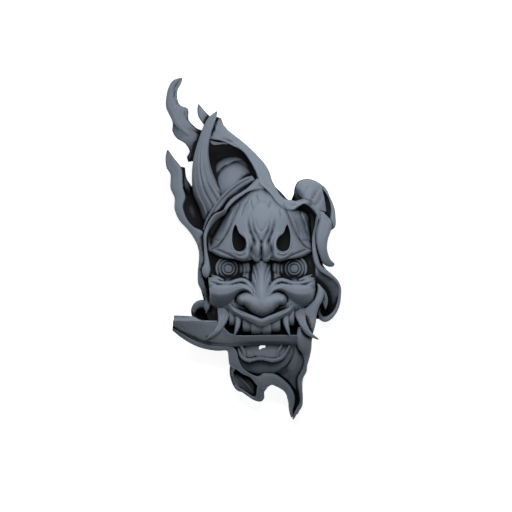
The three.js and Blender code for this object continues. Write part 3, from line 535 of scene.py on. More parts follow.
# %% The spikes' edges
SPIKES = {
  "left_horn": [[216.8, 111, 217.3, 112, 48, 1], [209, 117, 216.5, 117, 52, 4],
    [203.5, 126, 213.5, 126, 54, 6], [199.5, 137, 210, 138, 55, 8],
    [196, 148, 208.5, 149.5, 54, 10], [193.2, 160, 209.5, 161, 52, 12],
    [192, 172, 212.5, 172, 43, 19], [192, 184, 218.5, 184, 33, 27], [194, 196, 226, 193, 28, 26],
    [199, 207, 232, 201, 25, 24], [203, 220, 237, 210, 21, 21]],
  "right_horn": [[306, 178.7, 308, 178.7, 22, 4], [301, 179.8, 313, 179.8, 23, 12],
    [297, 182.5, 318.5, 182.5, 26, 19], [295.2, 186, 321.5, 187, 29, 23],
    [294, 191, 323.6, 194, 32, 26], [294.4, 196, 325.4, 203, 34, 27],
    [295.5, 201, 326.6, 212, 34, 27]],
  "left_tusk": [[217, 299, 230, 299, 40, 5], [217.2, 305.5, 229.8, 305.5, 47, 6],
    [217.4, 311, 229.6, 311.4, 56, 6], [218, 316.5, 228.8, 317, 65, 6],
    [217.4, 323, 226, 323.8, 69, 5.5], [213.5, 331, 220, 331.6, 71, 4.5],
    [208.4, 336, 212.6, 337, 69, 3], [205.8, 338.8, 206.3, 339.4, 67.5, 1]],
  "right_tusk": [[294, 299, 306, 299, 40, 5], [294.2, 306, 306, 305.5, 47, 6],
    [294.6, 312, 305.8, 311, 56, 6], [295.8, 317.4, 305.6, 316, 66, 6],
    [298, 322, 306, 321, 70, 5.5], [301, 327.5, 308, 326.5, 73, 5],
    [307, 335, 311.5, 332.5, 73, 3.5], [318, 340, 318.8, 338.7, 71, 1]],
  "lower_left_fang": [[239.4, 343.6, 240.2, 343.8, 55, 1], [239.8, 347, 243, 347, 53, 3],
    [240.8, 351, 246, 350.5, 51, 4], [242.4, 357, 247.4, 356.5, 49, 4]],
  "lower_right_fang": [[281.8, 344, 282.6, 344.3, 55, 1], [278.6, 347.4, 282.2, 347.8, 53, 3],
    [275.4, 351, 280.8, 351.8, 51, 4], [273.8, 356.5, 279, 357.5, 49, 4]],
  "left_fang": [[235, 314, 241.5, 315, 66, 5], [235.3, 322, 241, 322.5, 72, 5],
    [234.6, 329, 238.8, 329.5, 74, 4], [233.7, 335.5, 234.6, 335.7, 75, 1]],
  "right_fang": [[282.5, 315, 289, 314, 66, 5], [283.2, 322.5, 289, 322, 72, 5],
    [285.6, 329.5, 289.6, 329, 74, 4], [289.8, 336.4, 290.6, 336.2, 75, 1]],
}
RIBS = {"left_horn": (14, 0.11)}
print(len(SPIKES), "spikes are drawn")

# %% The spike maker
RING_STEPS = 42
LEAST_DEPTH = 0.5


def spike(name, rows, ribs=0, rib_depth=0.0):
    """Ellipse rings: half a cosine runs from edge to edge, a sine gives depth, ribs ripple it."""
    dense = smooth_rows(rows, spans_for(rows, 1.0))
    ax, ay, bx, by, middle, depth = (dense[:, [k]] for k in range(6))
    turn = np.linspace(0, 2 * math.pi, RING_STEPS, endpoint=False)[None, :]
    share = 0.5 - 0.5 * np.cos(turn)
    ripple = 1 - rib_depth * (0.5 + 0.5 * np.cos(ribs * turn)) ** 2
    height = middle + np.maximum(depth, LEAST_DEPTH) * np.sin(turn) * ripple
    across, down = ax + (bx - ax) * share, ay + (by - ay) * share
    height = height + np.where(np.sin(turn) > 0, relief(across, down), 0)
    solid(name, place(across, down, height), forms)


for name, rows in SPIKES.items():
    spike(name, rows, *RIBS.get(name, ()))

# %% [markdown]
# ## The swellings in the hood's opening
#
# The hood's opening shows a dome with a raised rim round it. Both are balls stretched three ways,
# and only their tops stay in sight. A UV sphere would do for the shape, but a grid of its own takes
# the strokes as well. The numbers are across, down, half width, half length, the height of the
# middle and the rise above it.

# %% The two swellings
SWELLINGS = {
  "window_rim": [233, 186, 28, 29.5, 18, 26],
  "window_dome": [235, 190, 21.5, 27.5, 30, 22],
}
LATITUDES = 36
LONGITUDES = 64
POLE_GAP = 0.02


def swelling(name, across, down, half_width, half_length, middle, rise):
    """Latitude rings from pole to pole: sines give the ring's place, a cosine gives its height."""
    up = np.linspace(POLE_GAP, math.pi - POLE_GAP, LATITUDES)[:, None]
    turn = np.linspace(0, 2 * math.pi, LONGITUDES, endpoint=False)[None, :]
    x = across + half_width * np.sin(up) * np.cos(turn)
    y = down + half_length * np.sin(up) * np.sin(turn)
    lift = np.where(np.cos(up) > 0, relief(x, y), 0)
    solid(name, place(x, y, middle + rise * np.cos(up) + lift), forms)


for name, made in SWELLINGS.items():
    swelling(name, *made)
print(len(SWELLINGS), "swellings")

# %% [markdown]
# ## The teeth
#
# The front teeth are rounded pegs side by side, six above the blade and four below. Each row reads
# left, right, root, biting edge and the height of the front. A box with a bevel would look like a
# tile, so a tooth's rings run from the root to the biting edge, where they narrow and tuck under,
# and the gaps between the teeth read as dark lines.

# %% The two rows of teeth
TEETH = [
  [242.4, 251.3, 314, 331.6, 71], [250.8, 261.5, 315, 334, 74], [261.1, 271.6, 315, 334, 74],
  [271.1, 280.4, 314, 331.6, 71], [229, 235.4, 308, 325.6, 64], [288.2, 294.4, 308, 325.6, 64],
  [246.4, 252, 359, 347.6, 50], [252.2, 258.9, 359, 347.8, 50.5],
  [259.1, 266.3, 359, 347.8, 50.5], [266.5, 273.4, 359, 347.6, 50],
]
TOOTH_STEPS = 14
TOOTH_ROOT = 34.0
NARROWING = 0.6
NARROWS_FROM = 0.76


def tooth(name, left, right, top, bottom, front):
    """Rings down a tooth: the front is a sine to the power 0.3 across, a sine down its length, and
    a ninth power that tucks the biting edge under.
    """
    share = 1 - np.linspace(1, 0, TOOTH_STEPS)[:, None] ** 1.5
    past = np.clip((share - NARROWS_FROM) / (1 - NARROWS_FROM), 0, 1)
    width = np.sqrt(1 - NARROWING * past**4)
    turn = np.linspace(0, math.pi, TOOTH_STEPS)[None, :]
    side = -np.cos(turn) * (right - left) / 2 * width
    bulge = np.sin(turn) ** 0.3 * 6 - 5 + 2.5 * np.sin(share * math.pi) - 6 * share**9
    across = (left + right) / 2 + side
    down = top + (bottom - top) * share + 0 * side
    peg = place(across, down, front + bulge)
    root = place(across[:, [-1, 0]], down[:, :2], TOOTH_ROOT)
    solid(name, np.concatenate([peg, root], axis=1), forms)


for number, made in enumerate(TEETH):
    tooth(f"tooth_{number}", *made)
print(len(TEETH), "teeth")

# %% [markdown]
# ## The blade
#
# The flat blade has three facets: a narrow back, a broad face and a bevel that falls away to the
# edge. A box with bevelled edges would keep one width, and this blade tapers to its tip. So each
# facet is a ribbon with hardly any crown, tilted its own way, and takes its own tone in the light.

# %% The blade's facets
BLADE = {
  "blade_back": {
    "drop": 1.5, "under": [34, 40], "tilt": 7,
    "rows": [[174, 315.3, 173.4, 321.2, 55], [184, 315.6, 184, 321.2, 59],
      [193, 316.4, 193, 321.2, 63], [198, 318.8, 198, 321.4, 65], [205, 320.2, 205, 321.8, 67],
      [217, 320.8, 217, 322.4, 70]],
  },
  "blade_face": {
    "drop": 1.5, "under": [34, 46], "tilt": -9,
    "rows": [[173, 320.5, 172.8, 322.8, 54], [179, 320.6, 178.6, 326.4, 56],
      [186, 320.7, 185.6, 330.6, 59], [194, 320.8, 193.6, 335, 62], [206, 321.2, 205.4, 339.6, 66],
      [220, 323.8, 220, 341.2, 68], [233, 334.5, 233, 341.8, 70], [262, 335, 262, 342, 71],
      [283, 335, 283, 342, 67], [300, 335, 300, 342, 59]],
  },
  "blade_edge": {
    "drop": 1.5, "under": [30, 36], "tilt": -12,
    "rows": [[173, 321.8, 172.6, 328.4, 47], [179, 325.4, 178, 332.4, 49],
      [186, 329.6, 184.6, 336.4, 51], [194, 334, 192, 341, 52], [205.4, 338.8, 203, 345, 56],
      [220, 340.3, 219, 346.8, 58], [233, 341, 233, 346.8, 60], [262, 341.3, 262, 345.5, 61],
      [283, 341.3, 283, 345.5, 57], [300, 341.3, 300, 345.5, 49]],
  },
}
for name, made in BLADE.items():
    ribbon(name, **made, step=1.4, across_steps=26)

# %% [markdown]
# ## Rolls and balls for the face
#
# A carved face is built up from rolls, such as the lips and cheeks, and soft balls, such as the
# muzzle. A roll's rows read across, down, the half width to the left and to the right of the way it
# runs, and the height of its crown. Its `drops`, `powers` and `flats` say for each side how far it
# falls, how round it is and how much of its top stays flat. Sculpting brushes would leave no
# numbers to correct, so the heights are merged by a smooth maximum: neighbours meet in a soft
# crease, where the plain maximum of two heights would leave a hard kink.

# %% How rolls and balls are merged
STEEP = 60


def merged(one, other, blend):
    """A smooth maximum: the larger height, plus (blend less their difference) squared over 4 blend,
    where they differ by less than `blend`.
    """
    return np.maximum(one, other) + np.maximum(blend - np.abs(one - other), 0) ** 2 / (4 * blend)


def roll_height(rows, drops, powers, flats, across, down):
    """Crown less drop times (distance / half width, past a flat part) to a power; then a wall."""
    away, side, values = nearest(smooth_rows(rows, STROKE_SPANS), across, down)
    right = (1 + side) / 2
    share = away / (values[..., 0] * (1 - right) + values[..., 1] * right)
    drop, power, flat = (pair[0] * (1 - right) + pair[1] * right for pair in (drops, powers, flats))
    slope = np.maximum(share - flat, 0) / (1 - flat)
    fall = drop * slope**power
    return values[..., 2] - fall - STEEP * np.maximum(share - 1, 0)


def ball_height(ball, across, down):
    """Base plus rise times the square root of 1 - r squared, where r is 1 on the ellipse's edge."""
    x, y, half_width, half_length, base, rise = ball
    r = np.hypot((across - x) / half_width, (down - y) / half_length)
    dome = base + rise * np.sqrt(np.maximum(1 - r**2, 0))
    return np.where(r < 1, dome, base - STEEP * (r - 1))


print("two heights of 10 merge to", merged(10.0, 10.0, 2.0), "mm with a blend of 2")

# %% The face's rolls and balls
PAIRED_ROLLS = [
  # Ridge under the eye
  {"drops": [4, 2.5], "powers": [2, 2], "blend": 1.5,
   "rows": [[209.6, 278.4, 1.2, 1.4, 59], [212, 279.8, 1.7, 2, 67.5], [216, 281.6, 1.9, 2.2, 73.5],
      [221, 283, 1.9, 2.2, 75.5], [226, 283.5, 1.9, 2.2, 76.5], [231, 283.1, 2, 2.2, 78],
      [236, 281.4, 2.1, 2.3, 79.5], [241, 280.2, 2.1, 2.4, 81], [245.5, 281.2, 2.1, 2.4, 83],
      [249, 283.8, 2, 2.4, 85], [252.3, 287.8, 1.8, 2.2, 87], [255, 292, 1.4, 1.6, 88]]},
  # Lower rim of the eye
  {"drops": [3, 3], "powers": [2, 2], "blend": 0.8,
   "rows": [[211.4, 275.2, 1, 1.4, 50], [214.5, 276.6, 1.2, 1.6, 61],
      [218.5, 278.4, 1.2, 1.6, 68.5], [223, 280, 1, 1.2, 71]]},
  # Cheek
  {"drops": [3, 24], "powers": [2.4, 1.3], "flats": [0.2, 0.18], "blend": 1.5,
   "rows": [[207.5, 289.2, 2.6, 3, 58], [209.2, 289.9, 4.2, 6.8, 67], [211, 290.5, 5.1, 10.2, 73.5],
      [213.8, 291.2, 5.8, 13.2, 77.8], [217.2, 291.5, 6.1, 14.9, 80],
      [221.5, 291.4, 6.2, 15.4, 80.8], [226, 291, 5.8, 15, 81.6], [230.5, 289.9, 5, 13.6, 82.5],
      [234.2, 288.6, 4.3, 12, 83.4], [238, 287.4, 3.8, 10, 84.4], [242, 286.9, 3.4, 8.4, 85.6],
      [246.2, 287.8, 3, 7, 87], [249.6, 290.5, 2.4, 5, 88.4], [252.4, 294.4, 1.4, 3, 89.4]]},
]
MIDDLE_ROLLS = [
  # Bridge of the nose
  {"drops": [14, 14], "powers": [1.4, 1.4], "blend": 5.0,
   "rows": [[261.4, 258, 8, 8, 66], [261.4, 266, 8.6, 8.6, 71], [261.4, 274, 9.2, 9.2, 79],
      [261.4, 282, 9.8, 9.8, 87.5], [261.5, 290, 10, 10, 94], [261.7, 297, 9.8, 9.8, 98],
      [261.9, 303, 9, 9, 98.5]]},
  # Tip of the nose and its wings
  {"drops": [13, 22], "powers": [2.2, 2.6], "blend": 3.0,
   "rows": [[242.8, 299.8, 6.2, 6.2, 90], [246.5, 299.7, 8, 8, 91.2], [251, 301, 8.8, 9.4, 93],
      [256, 302.8, 10, 12, 96], [262, 303.8, 11, 14.2, 98.5], [268, 302.8, 10, 12, 96],
      [273, 301, 8.8, 9.4, 93], [277.5, 299.7, 8, 8, 91.2], [281.2, 299.8, 6.2, 6.2, 90]]},
  # Upper lip
  {"drops": [2, 12], "powers": [2, 2.2], "blend": 1.0,
   "rows": [[229.4, 302.8, 1.2, 2, 64], [230.6, 306.6, 1.8, 3.6, 71], [234.6, 310, 2.1, 5, 77.5],
      [240.9, 313, 2.2, 5.2, 82.5], [247.9, 315.9, 2.2, 5.3, 86.5], [255, 318.6, 2.2, 5.5, 89.5],
      [261.4, 320.8, 2, 5.7, 91.5], [267.8, 318.6, 2.2, 5.5, 89.5], [274.9, 315.9, 2.2, 5.3, 86.5],
      [281.9, 313, 2.2, 5.2, 82.5], [288.2, 310, 2.1, 5, 77.5], [292.2, 306.6, 1.8, 3.6, 71],
      [293.4, 302.8, 1.2, 2, 64]]},
  # Lower lip
  {"drops": [5, 9], "powers": [2, 2.4], "blend": 0.8,
   "rows": [[290, 345.5, 1.2, 1.6, 54], [287.2, 351, 1.5, 2, 58], [283, 356.6, 1.7, 2.2, 61],
      [278, 359.4, 1.6, 2.2, 63.5], [272, 360.6, 1.5, 2.1, 65], [266.5, 359.5, 1.4, 2, 66],
      [261, 358.6, 1.4, 2, 66.5], [255, 359.4, 1.4, 2, 66], [249.5, 360.5, 1.5, 2.1, 65],
      [244, 358.6, 1.6, 2.2, 62], [240.4, 354.4, 1.6, 2, 58], [238.2, 348.5, 1.2, 1.6, 54]]},
]
PAIRED_BALLS = [
  [246, 269.5, 7.6, 15, 40, 17], [215.6, 284.5, 9, 9, 48, 25], [246.5, 280, 6.5, 8, 48, 19],
]
MIDDLE_BALLS = [[264, 351.5, 29, 23.5, 40, 14]]


def both_sides(paired):
    """Each paired roll and its mirror image, whose left and right half widths change places."""
    made = []
    for roll in paired:
        rows = mirrored(roll["rows"])
        rows[:, [2, 3]] = rows[:, [3, 2]]
        swapped = {key: roll[key][::-1] for key in ("drops", "powers", "flats") if key in roll}
        made += [roll, {**swapped, "blend": roll["blend"], "rows": rows}]
    return made


FACE_ROLLS = MIDDLE_ROLLS[:1] + both_sides(PAIRED_ROLLS) + MIDDLE_ROLLS[1:]
FACE_BALLS = PAIRED_BALLS + [list(row) for row in mirrored(PAIRED_BALLS)] + MIDDLE_BALLS
print(len(FACE_ROLLS), "rolls and", len(FACE_BALLS), "balls on the face")

# %% [markdown]
# ## The face
#
# The face is one arched sheet. Its rows read down, left, right, the height at the middle and the
# height at the sides. Every roll and ball is merged into that arch, and the strokes come last.

# %% The face
FACE_ROWS = [
  [236, 206, 314, 44, 32], [250, 205, 315, 44, 35], [262, 206, 317, 44, 35],
  [270, 206.5, 317, 44, 36], [277, 207.5, 316, 50, 44], [282, 208.5, 315.2, 66, 52],
  [292, 209.5, 315.6, 74, 52], [302, 209.5, 317, 74, 42], [311, 206, 317, 72, 28],
  [318, 208, 314, 67, 25], [324, 208, 313, 54, 24], [335, 210, 306, 50, 24],
  [345, 228, 302, 44, 26], [354, 234, 303, 40, 26], [362, 238, 305, 38, 26],
  [369, 243, 305, 36, 24], [376, 252, 303, 33, 20], [383, 268, 298, 28, 16],
  [390, 284, 298, 22, 12],
]
BALL_BLEND = 6.0
FACE_ROUNDNESS = 2.6
FACE_PER_SPAN = 11
FACE_COLUMNS = 160


def sculpted(height, rolls, balls, across, down):
    """A base height with every ball and roll merged in, and the strokes added last."""
    for ball in balls:
        height = merged(height, ball_height(ball, across, down), BALL_BLEND)
    for roll in rolls:
        rows = np.asarray(roll["rows"], float)
        near = within(rows, 3 * rows[:, 2:4].max(), across, down)
        flats = roll.get("flats", (0, 0))
        crown = roll_height(rows, roll["drops"], roll["powers"], flats, across[near], down[near])
        height[near] = merged(height[near], crown, roll["blend"])
    return height + relief(across, down)


def arch_grid(rows, per_span, columns, roundness):
    """Across, down and height: side + (middle - side) * (1 - |t| ** roundness), t from -1 to 1."""
    dense = smooth_rows(rows, per_span)
    down, left, right, middle, side = (dense[:, [k]] for k in range(5))
    t = np.linspace(-1, 1, columns + 1)[None, :]
    across = left + (right - left) * (t + 1) / 2
    return across, down + 0 * across, side + (middle - side) * (1 - np.abs(t) ** roundness)


def walled(name, across, down, height, base, collection):
    """Closed rings: each row's top, then its two ends put down to the base."""
    top = place(across, down, height)
    foot = place(across[:, [-1, 0]], down[:, [-1, 0]], base)
    solid(name, np.concatenate([top, foot], axis=1), collection)


across, down, height = arch_grid(FACE_ROWS, FACE_PER_SPAN, FACE_COLUMNS, FACE_ROUNDNESS)
height = sculpted(height, FACE_ROLLS, FACE_BALLS, across, down)
walled("face", across, down, height, BELOW_BACK, forms)
print("face:", height.shape, "points, nose at", height.max().round(1), "mm")

# %% [markdown]
# ## The brow
#
# The forehead hangs over the eyes with an edge that follows the frown. A second sheet, lifted off
# the face, gives that overhang and its shadow, which one sheet of heights never could. Its lowest
# rows are rounded off, so that the edge looks cast and not cut.

# %% The brow's rows, edge, rolls and ball
BROW_ROWS = [
  [182, 252, 270, 54, 40], [191, 243, 281, 66, 42], [200, 233, 290, 73, 42],
  [208, 224, 303, 77, 38], [216, 215, 313, 79, 34], [225, 209, 314, 79, 32],
  [236, 206, 314, 78, 34], [250, 206, 315, 78, 42], [264, 206, 315, 76, 44],
]
BROW_EDGE = [
  [206, 251], [211, 252.2], [216, 255], [222, 257.2], [229, 258.6], [235, 259.2], [240, 260.8],
  [244, 261.4], [248, 260.2], [250.4, 258], [251.6, 258.4], [254, 261], [257, 262], [259.6, 261],
  [261.3, 257.6],
]
BROW_ROLLS = [
  # Frown roll
  {"drops": [6, 9], "powers": [2.2, 1.7], "blend": 2.5,
   "rows": [[250, 219, 2.4, 2.4, 78.5], [251.8, 228, 3, 3, 81], [254.8, 236, 3.4, 3.4, 84],
      [257.4, 242, 3.4, 4.6, 86], [258, 248, 3.2, 6.4, 87], [257.4, 253, 3.6, 6, 84.5],
      [256.4, 257.5, 4.4, 5, 79], [256, 263, 4.6, 4.6, 70]]},
  # Rounded end of the brow
  {"drops": [7, 8], "powers": [2, 2], "blend": 3.0,
   "rows": [[232, 252, 4, 3, 72], [237, 255, 5.4, 4.6, 79], [243, 256.6, 7, 5.4, 83],
      [246.6, 254.8, 6, 4, 85], [247.6, 248, 5, 3.2, 84], [247.6, 241, 4.6, 3.2, 81],
      [245, 234, 4, 3, 78]]},
]
BROW_BALLS = [[261.3, 221, 11, 19.5, 74, 7]]
BROW_TOP = 183
BROW_HALF_WIDTH = 54
BROW_UNDERSIDE = 26.0
EDGE_LENGTH = 3.0
EDGE_DROP = 7
BROW_LINES = 106
BROW_COLUMNS = 161
print(len(BROW_EDGE), "points on half of the brow's edge")


# %% The brow
def brow(rows, columns):
    """Rows spread evenly from the hood to the frown; the last squares fall by a quarter circle."""
    edge = smooth_rows(np.vstack([BROW_EDGE, mirrored(BROW_EDGE)[::-1][1:]]), 6)
    plain = smooth_rows(BROW_ROWS, 8)
    row = np.linspace(0, 1, rows)[:, None]
    t = np.linspace(-1, 1, columns)[None, :]
    bottom = np.interp(FACE_MIDLINE + BROW_HALF_WIDTH * t, edge[:, 0], edge[:, 1])
    down = BROW_TOP + (bottom - BROW_TOP) * row
    left, right, middle, side = (np.interp(down, plain[:, 0], plain[:, k]) for k in (1, 2, 3, 4))
    across = left + (right - left) * (t + 1) / 2
    bottom = np.interp(across, edge[:, 0], edge[:, 1])
    down = BROW_TOP + (bottom - BROW_TOP) * row
    height = side + (middle - side) * (1 - np.abs(t) ** FACE_ROUNDNESS)
    height = sculpted(height, both_sides(BROW_ROLLS), BROW_BALLS, across, down)
    to_edge = np.clip(1 - (bottom - down) / EDGE_LENGTH, 0, 0.98)
    height = np.maximum(height - EDGE_DROP * (1 - np.sqrt(1 - to_edge**2)), BROW_UNDERSIDE + 2)
    walled("brow", across, down, height, BROW_UNDERSIDE, forms)
    return height


print("brow: highest point", brow(BROW_LINES, BROW_COLUMNS).max().round(1), "mm")

# %% [markdown]
# ## The eyes
#
# Each eye is a button with ringed grooves round its middle, as if turned on a lathe. A Screw
# modifier would turn it too, but the Boolean needs a closed solid like the others, so the profile
# of radius and height is swept round here and both ends are closed.

# %% The ringed eyes
EYE_LINE = 268.6
EYE_OFFSET = 33.0
EYE_RADIUS = 13.2
EYE_FOOT = 30
EYE_STEPS = 80
EYE_RINGS = [
  [EYE_RADIUS, 45], [12.9, 47], [12, 48.2], [11.2, 47.9], [10.3, 46.6], [9.6, 48.3], [9, 48.9],
  [8.3, 48.5], [7.3, 47.1], [6.4, 49.1], [5.7, 49.6], [5, 49.2], [4.3, 47.9], [3.5, 49.8],
  [0, 50.6],
]


def eye(name, side):
    """A turned solid: the profile's radius and height, swept once round."""
    profile = smooth_rows(EYE_RINGS, 5)
    closing = [0.15, profile[-1, 1]]
    profile = np.vstack([[0.4, EYE_FOOT], [EYE_RADIUS, EYE_FOOT], profile[:-1], closing])
    turn = np.linspace(0, 2 * math.pi, EYE_STEPS, endpoint=False)[None, :]
    radius, height = profile[:, [0]], profile[:, [1]]
    x = FACE_MIDLINE + side * EYE_OFFSET + radius * np.cos(turn)
    solid(name, place(x, EYE_LINE + radius * np.sin(turn), height), forms)


eye("left_eye", -1)
eye("right_eye", 1)
print("eyes", round(2 * EYE_OFFSET * SQUARE_MM), "mm apart")

# %% [markdown]
# ## Floors of the deep places
#
# Between the ribbons the mask is deep and dark, but closed. Plain arched floors fill those places
# from the back. Their rows read down, left, right, the height at the middle and at the sides. How
# deep a floor lies decides how dark it turns, in the light and in the painted shade, so the heights
# were chosen for the tone.

# %% The floors
FLOORS = {
  "window_floor": [[136, 200, 230, 10, 10], [143, 198, 238, 13, 14], [150, 198, 247, 13, 18],
    [158, 197, 254, 18, 26], [170, 200, 260, 30, 31], [184, 206, 262, 30, 31],
    [196, 206, 244, 27, 25]],
  "window_side": [[157, 238, 251, 20, 16], [163, 240, 256, 28, 25], [170, 242, 260, 34, 30],
    [177, 244, 262, 37, 33], [184, 246, 262, 38, 35]],
  "left_floor": [[186, 180, 200, 10, 10], [194, 180, 206, 11, 12], [204, 178, 210, 11, 12],
    [214, 178, 212, 13, 13], [224, 184, 212, 16, 15], [233, 194, 210, 21, 20]],
  "curl_floor": [[260, 315.4, 319, 46, 46], [265, 315.4, 321, 47, 47], [271, 315.6, 326, 45, 46],
    [277, 315.8, 332, 41, 43], [285, 315, 338, 36, 39], [294, 314, 339.5, 31, 35],
    [304, 314, 338, 25, 30], [312, 316, 334, 20, 25], [317, 319, 329, 16, 20]],
  "rim_floor": [[186, 318, 324, 12, 12], [192, 318, 328, 18, 17], [199, 318, 330, 23, 22],
    [207, 318, 332, 26, 26], [214, 320, 333, 29, 28], [222, 322, 332, 31, 31]],
  "lobe_floor": [[368, 232, 242, 27, 27], [374, 232, 252, 30, 30], [381, 233, 260, 31, 30],
    [388, 237, 262, 29, 27], [395, 246, 260, 26, 25], [399, 252, 258, 24, 24]],
  "fold_floor": [[344, 290, 308, 44, 50], [356, 288, 307, 42, 46], [368, 284, 306, 36, 38],
    [378, 282, 302, 30, 31], [390, 288, 302, 25, 26], [404, 290, 302, 18, 20],
    [414, 291, 298, 13, 15]],
}
FLOOR_PER_SPAN = 6
FLOOR_COLUMNS = 44
FLOOR_ROUNDNESS = 2.0
for name, rows in FLOORS.items():
    across, down, height = arch_grid(rows, FLOOR_PER_SPAN, FLOOR_COLUMNS, FLOOR_ROUNDNESS)
    walled(name, across, down, height + relief(across, down), BELOW_BACK, forms)
print(len(FLOORS), "floors")

# %% [markdown]
# ## Pockets, slot and hollow
#
# The brow has two deep pockets shaped like drops, and a small slot under the blade goes right
# through. The back is hollow, as a cast mask is to save resin: one broad hollow and a narrower one
# that follows the nose, so that the walls stay about equally thick. All of them are cutters, which
# are taken away from the joined forms, as a drill or a core in the mould would.

# %% The outlines
POCKET_OUTLINE = [
  [235.3, 224], [233.2, 228.5], [232, 235], [232, 242], [233.2, 247.5], [235.8, 250.8],
  [239.5, 251.8], [243, 250.8], [245.4, 247.6], [246, 243], [244.8, 238.6], [241.9, 235.4],
  [239.4, 232.8], [237.8, 229.6], [236.8, 226],
]
SLOT_OUTLINE = [
  [260.6, 345.5], [265.3, 345.5], [265.3, 347.6], [262, 348], [260.7, 349.3], [258.9, 349.3],
  [259, 346.8],
]
POCKET_PER_SPAN = 8
POCKET_FLOOR = 44.0
POCKET_LEVELS = [(100, 1.25), (78, 1.08), (74, 1.0), (66, 0.96), (58, 0.93), (POCKET_FLOOR, 0.86)]
POCKET_LEVELS += [(POCKET_FLOOR, size) for size in (0.7, 0.54, 0.38, 0.22, 0.1)]
SLOT_LEVELS = [(-9, 1), (90, 1)]
TRIM_SIZE = 520
TRIM_LEVELS = [(-60, 1), (0, 1)]
print(len(POCKET_OUTLINE), "points round a pocket")


# %% The cutters with an outline
def slab(name, outline, levels, collection):
    """One outline repeated at (height, size) levels, each shrunk about the outline's middle."""
    points = np.asarray(outline, float)
    middle = points.mean(0)
    rings = [place(*(middle + (points - middle) * size).T, height) for height, size in levels]
    return solid(name, np.stack(rings), collection)


def round_outline(points, per_span):
    """A closed smooth outline: the points are repeated past both ends, then trimmed."""
    points = np.asarray(points, float)
    dense = smooth_rows(np.vstack([points[-2:], points, points[:2]]), per_span)
    return dense[2 * per_span:-2 * per_span - 1][: len(points) * per_span]


for name, outline in [("left_pocket", POCKET_OUTLINE), ("right_pocket", mirrored(POCKET_OUTLINE))]:
    slab(name, round_outline(outline, POCKET_PER_SPAN), POCKET_LEVELS, cutters)
slab("slot", SLOT_OUTLINE, SLOT_LEVELS, cutters)
square = [[0, 0], [TRIM_SIZE, 0], [TRIM_SIZE, TRIM_SIZE], [0, TRIM_SIZE]]
slab("trim", square, TRIM_LEVELS, cutters)

# %% The hollow behind the face
HOLLOW_ROUNDNESS = 3.2
HOLLOW_MOUTH = -9.0
HOLLOW_PER_SPAN = 4
HOLLOW_COLUMNS = 48
HOLLOWS = {
  "hollow": [[198, 246, 278, 24], [209, 232, 293, 38], [222, 220, 306, 38], [250, 213, 309, 38],
    [268, 212, 311, 38], [280, 212, 313, 48], [290, 213, 313, 60], [300, 213, 313, 60],
    [308, 214, 311, 53], [319, 215, 307, 42], [329, 220, 301, 33], [345, 236, 296, 33],
    [357, 241, 296, 33], [368, 249, 293, 26]],
  "nose_hollow": [[208, 252, 271, 44], [219, 249.5, 273, 64], [252, 251, 271.6, 59],
    [262, 254.5, 268, 50], [272, 254.5, 268.4, 62], [286, 253, 270, 78], [296, 251, 272, 84],
    [304, 251, 272, 84], [313, 255, 268, 60]],
}
for name, rows in HOLLOWS.items():
    flat_sided = [row + [0] for row in rows]
    arch = arch_grid(flat_sided, HOLLOW_PER_SPAN, HOLLOW_COLUMNS, HOLLOW_ROUNDNESS)
    walled(name, *arch, HOLLOW_MOUTH, cutters)
print("the hollow is", max(row[3] for row in HOLLOWS["nose_hollow"]), "mm deep at its middle")

# %% [markdown]
# ## One piece
#
# A thin backing plate carries every form. Joining meshes without a Boolean would leave hidden walls
# inside; the manifold solver gives one closed skin. First the union of all the forms is made, then
# the hollow, the pockets, the slot and everything below the flat back are cut away.

# %% The backing plate
BACKING_OUTLINE = [
  [204, 134], [212, 124], [222, 123], [232, 135], [249, 149], [264, 165], [271, 181], [280, 196],
  [294, 202], [297, 186], [306, 180], [319, 184], [327, 194], [333, 208], [334, 224], [325, 236],
  [322, 250], [323, 265], [330, 275], [338, 284], [339, 298], [335, 310], [329, 319], [321, 319],
  [316, 319], [312.5, 336], [310.5, 352], [306, 364], [303, 374], [300, 384], [300, 404],
  [293, 418], [290, 410], [289, 396], [279, 386], [267, 383], [266, 389], [262, 396], [258, 399],
  [250, 396], [240, 389], [233, 379], [232, 366], [229, 350], [207, 347], [205, 338], [207, 322],
  [197, 319], [194, 313], [196, 304], [204, 301], [201, 290], [199, 276], [200, 256], [196, 240],
  [183, 221], [176.5, 205], [177, 196], [184, 190], [190, 187.5], [193, 188], [194.5, 178],
  [196.5, 156], [200, 144],
]
BACKING_THICKNESS = 10.0
mask = slab("oni_mask_shown", BACKING_OUTLINE, [(BELOW_BACK, 1), (BACKING_THICKNESS, 1)], forms)
forms.objects.unlink(mask)
bpy.context.scene.collection.objects.link(mask)
print(len(BACKING_OUTLINE), "points round the backing plate")

# %% Join and cut
SHARP_ANGLE = math.radians(38)


def joined(base, operation, group):
    """The base's mesh after one Boolean with every object in a group; the group is then emptied."""
    bpy.context.scene.collection.children.link(group)
    modifier = base.modifiers.new(operation, "BOOLEAN")
    modifier.operation = operation
    modifier.operand_type = "COLLECTION"
    modifier.collection = group
    modifier.solver = "MANIFOLD"
    depsgraph = bpy.context.evaluated_depsgraph_get()
    result = bpy.data.meshes.new_from_object(base.evaluated_get(depsgraph))
    base.modifiers.clear()
    base.data = result
    for used in list(group.objects):
        bpy.data.objects.remove(used)
    bpy.data.collections.remove(group)
    print(operation, len(result.vertices), "points,", len(result.polygons), "faces")


joined(mask, "UNION", forms)
joined(mask, "DIFFERENCE", cutters)
mask.data.calc_loop_triangles()
mask.data.shade_smooth()
mask.data.set_sharp_from_angle(angle=SHARP_ANGLE)
print(len(mask.data.loop_triangles), "triangles")
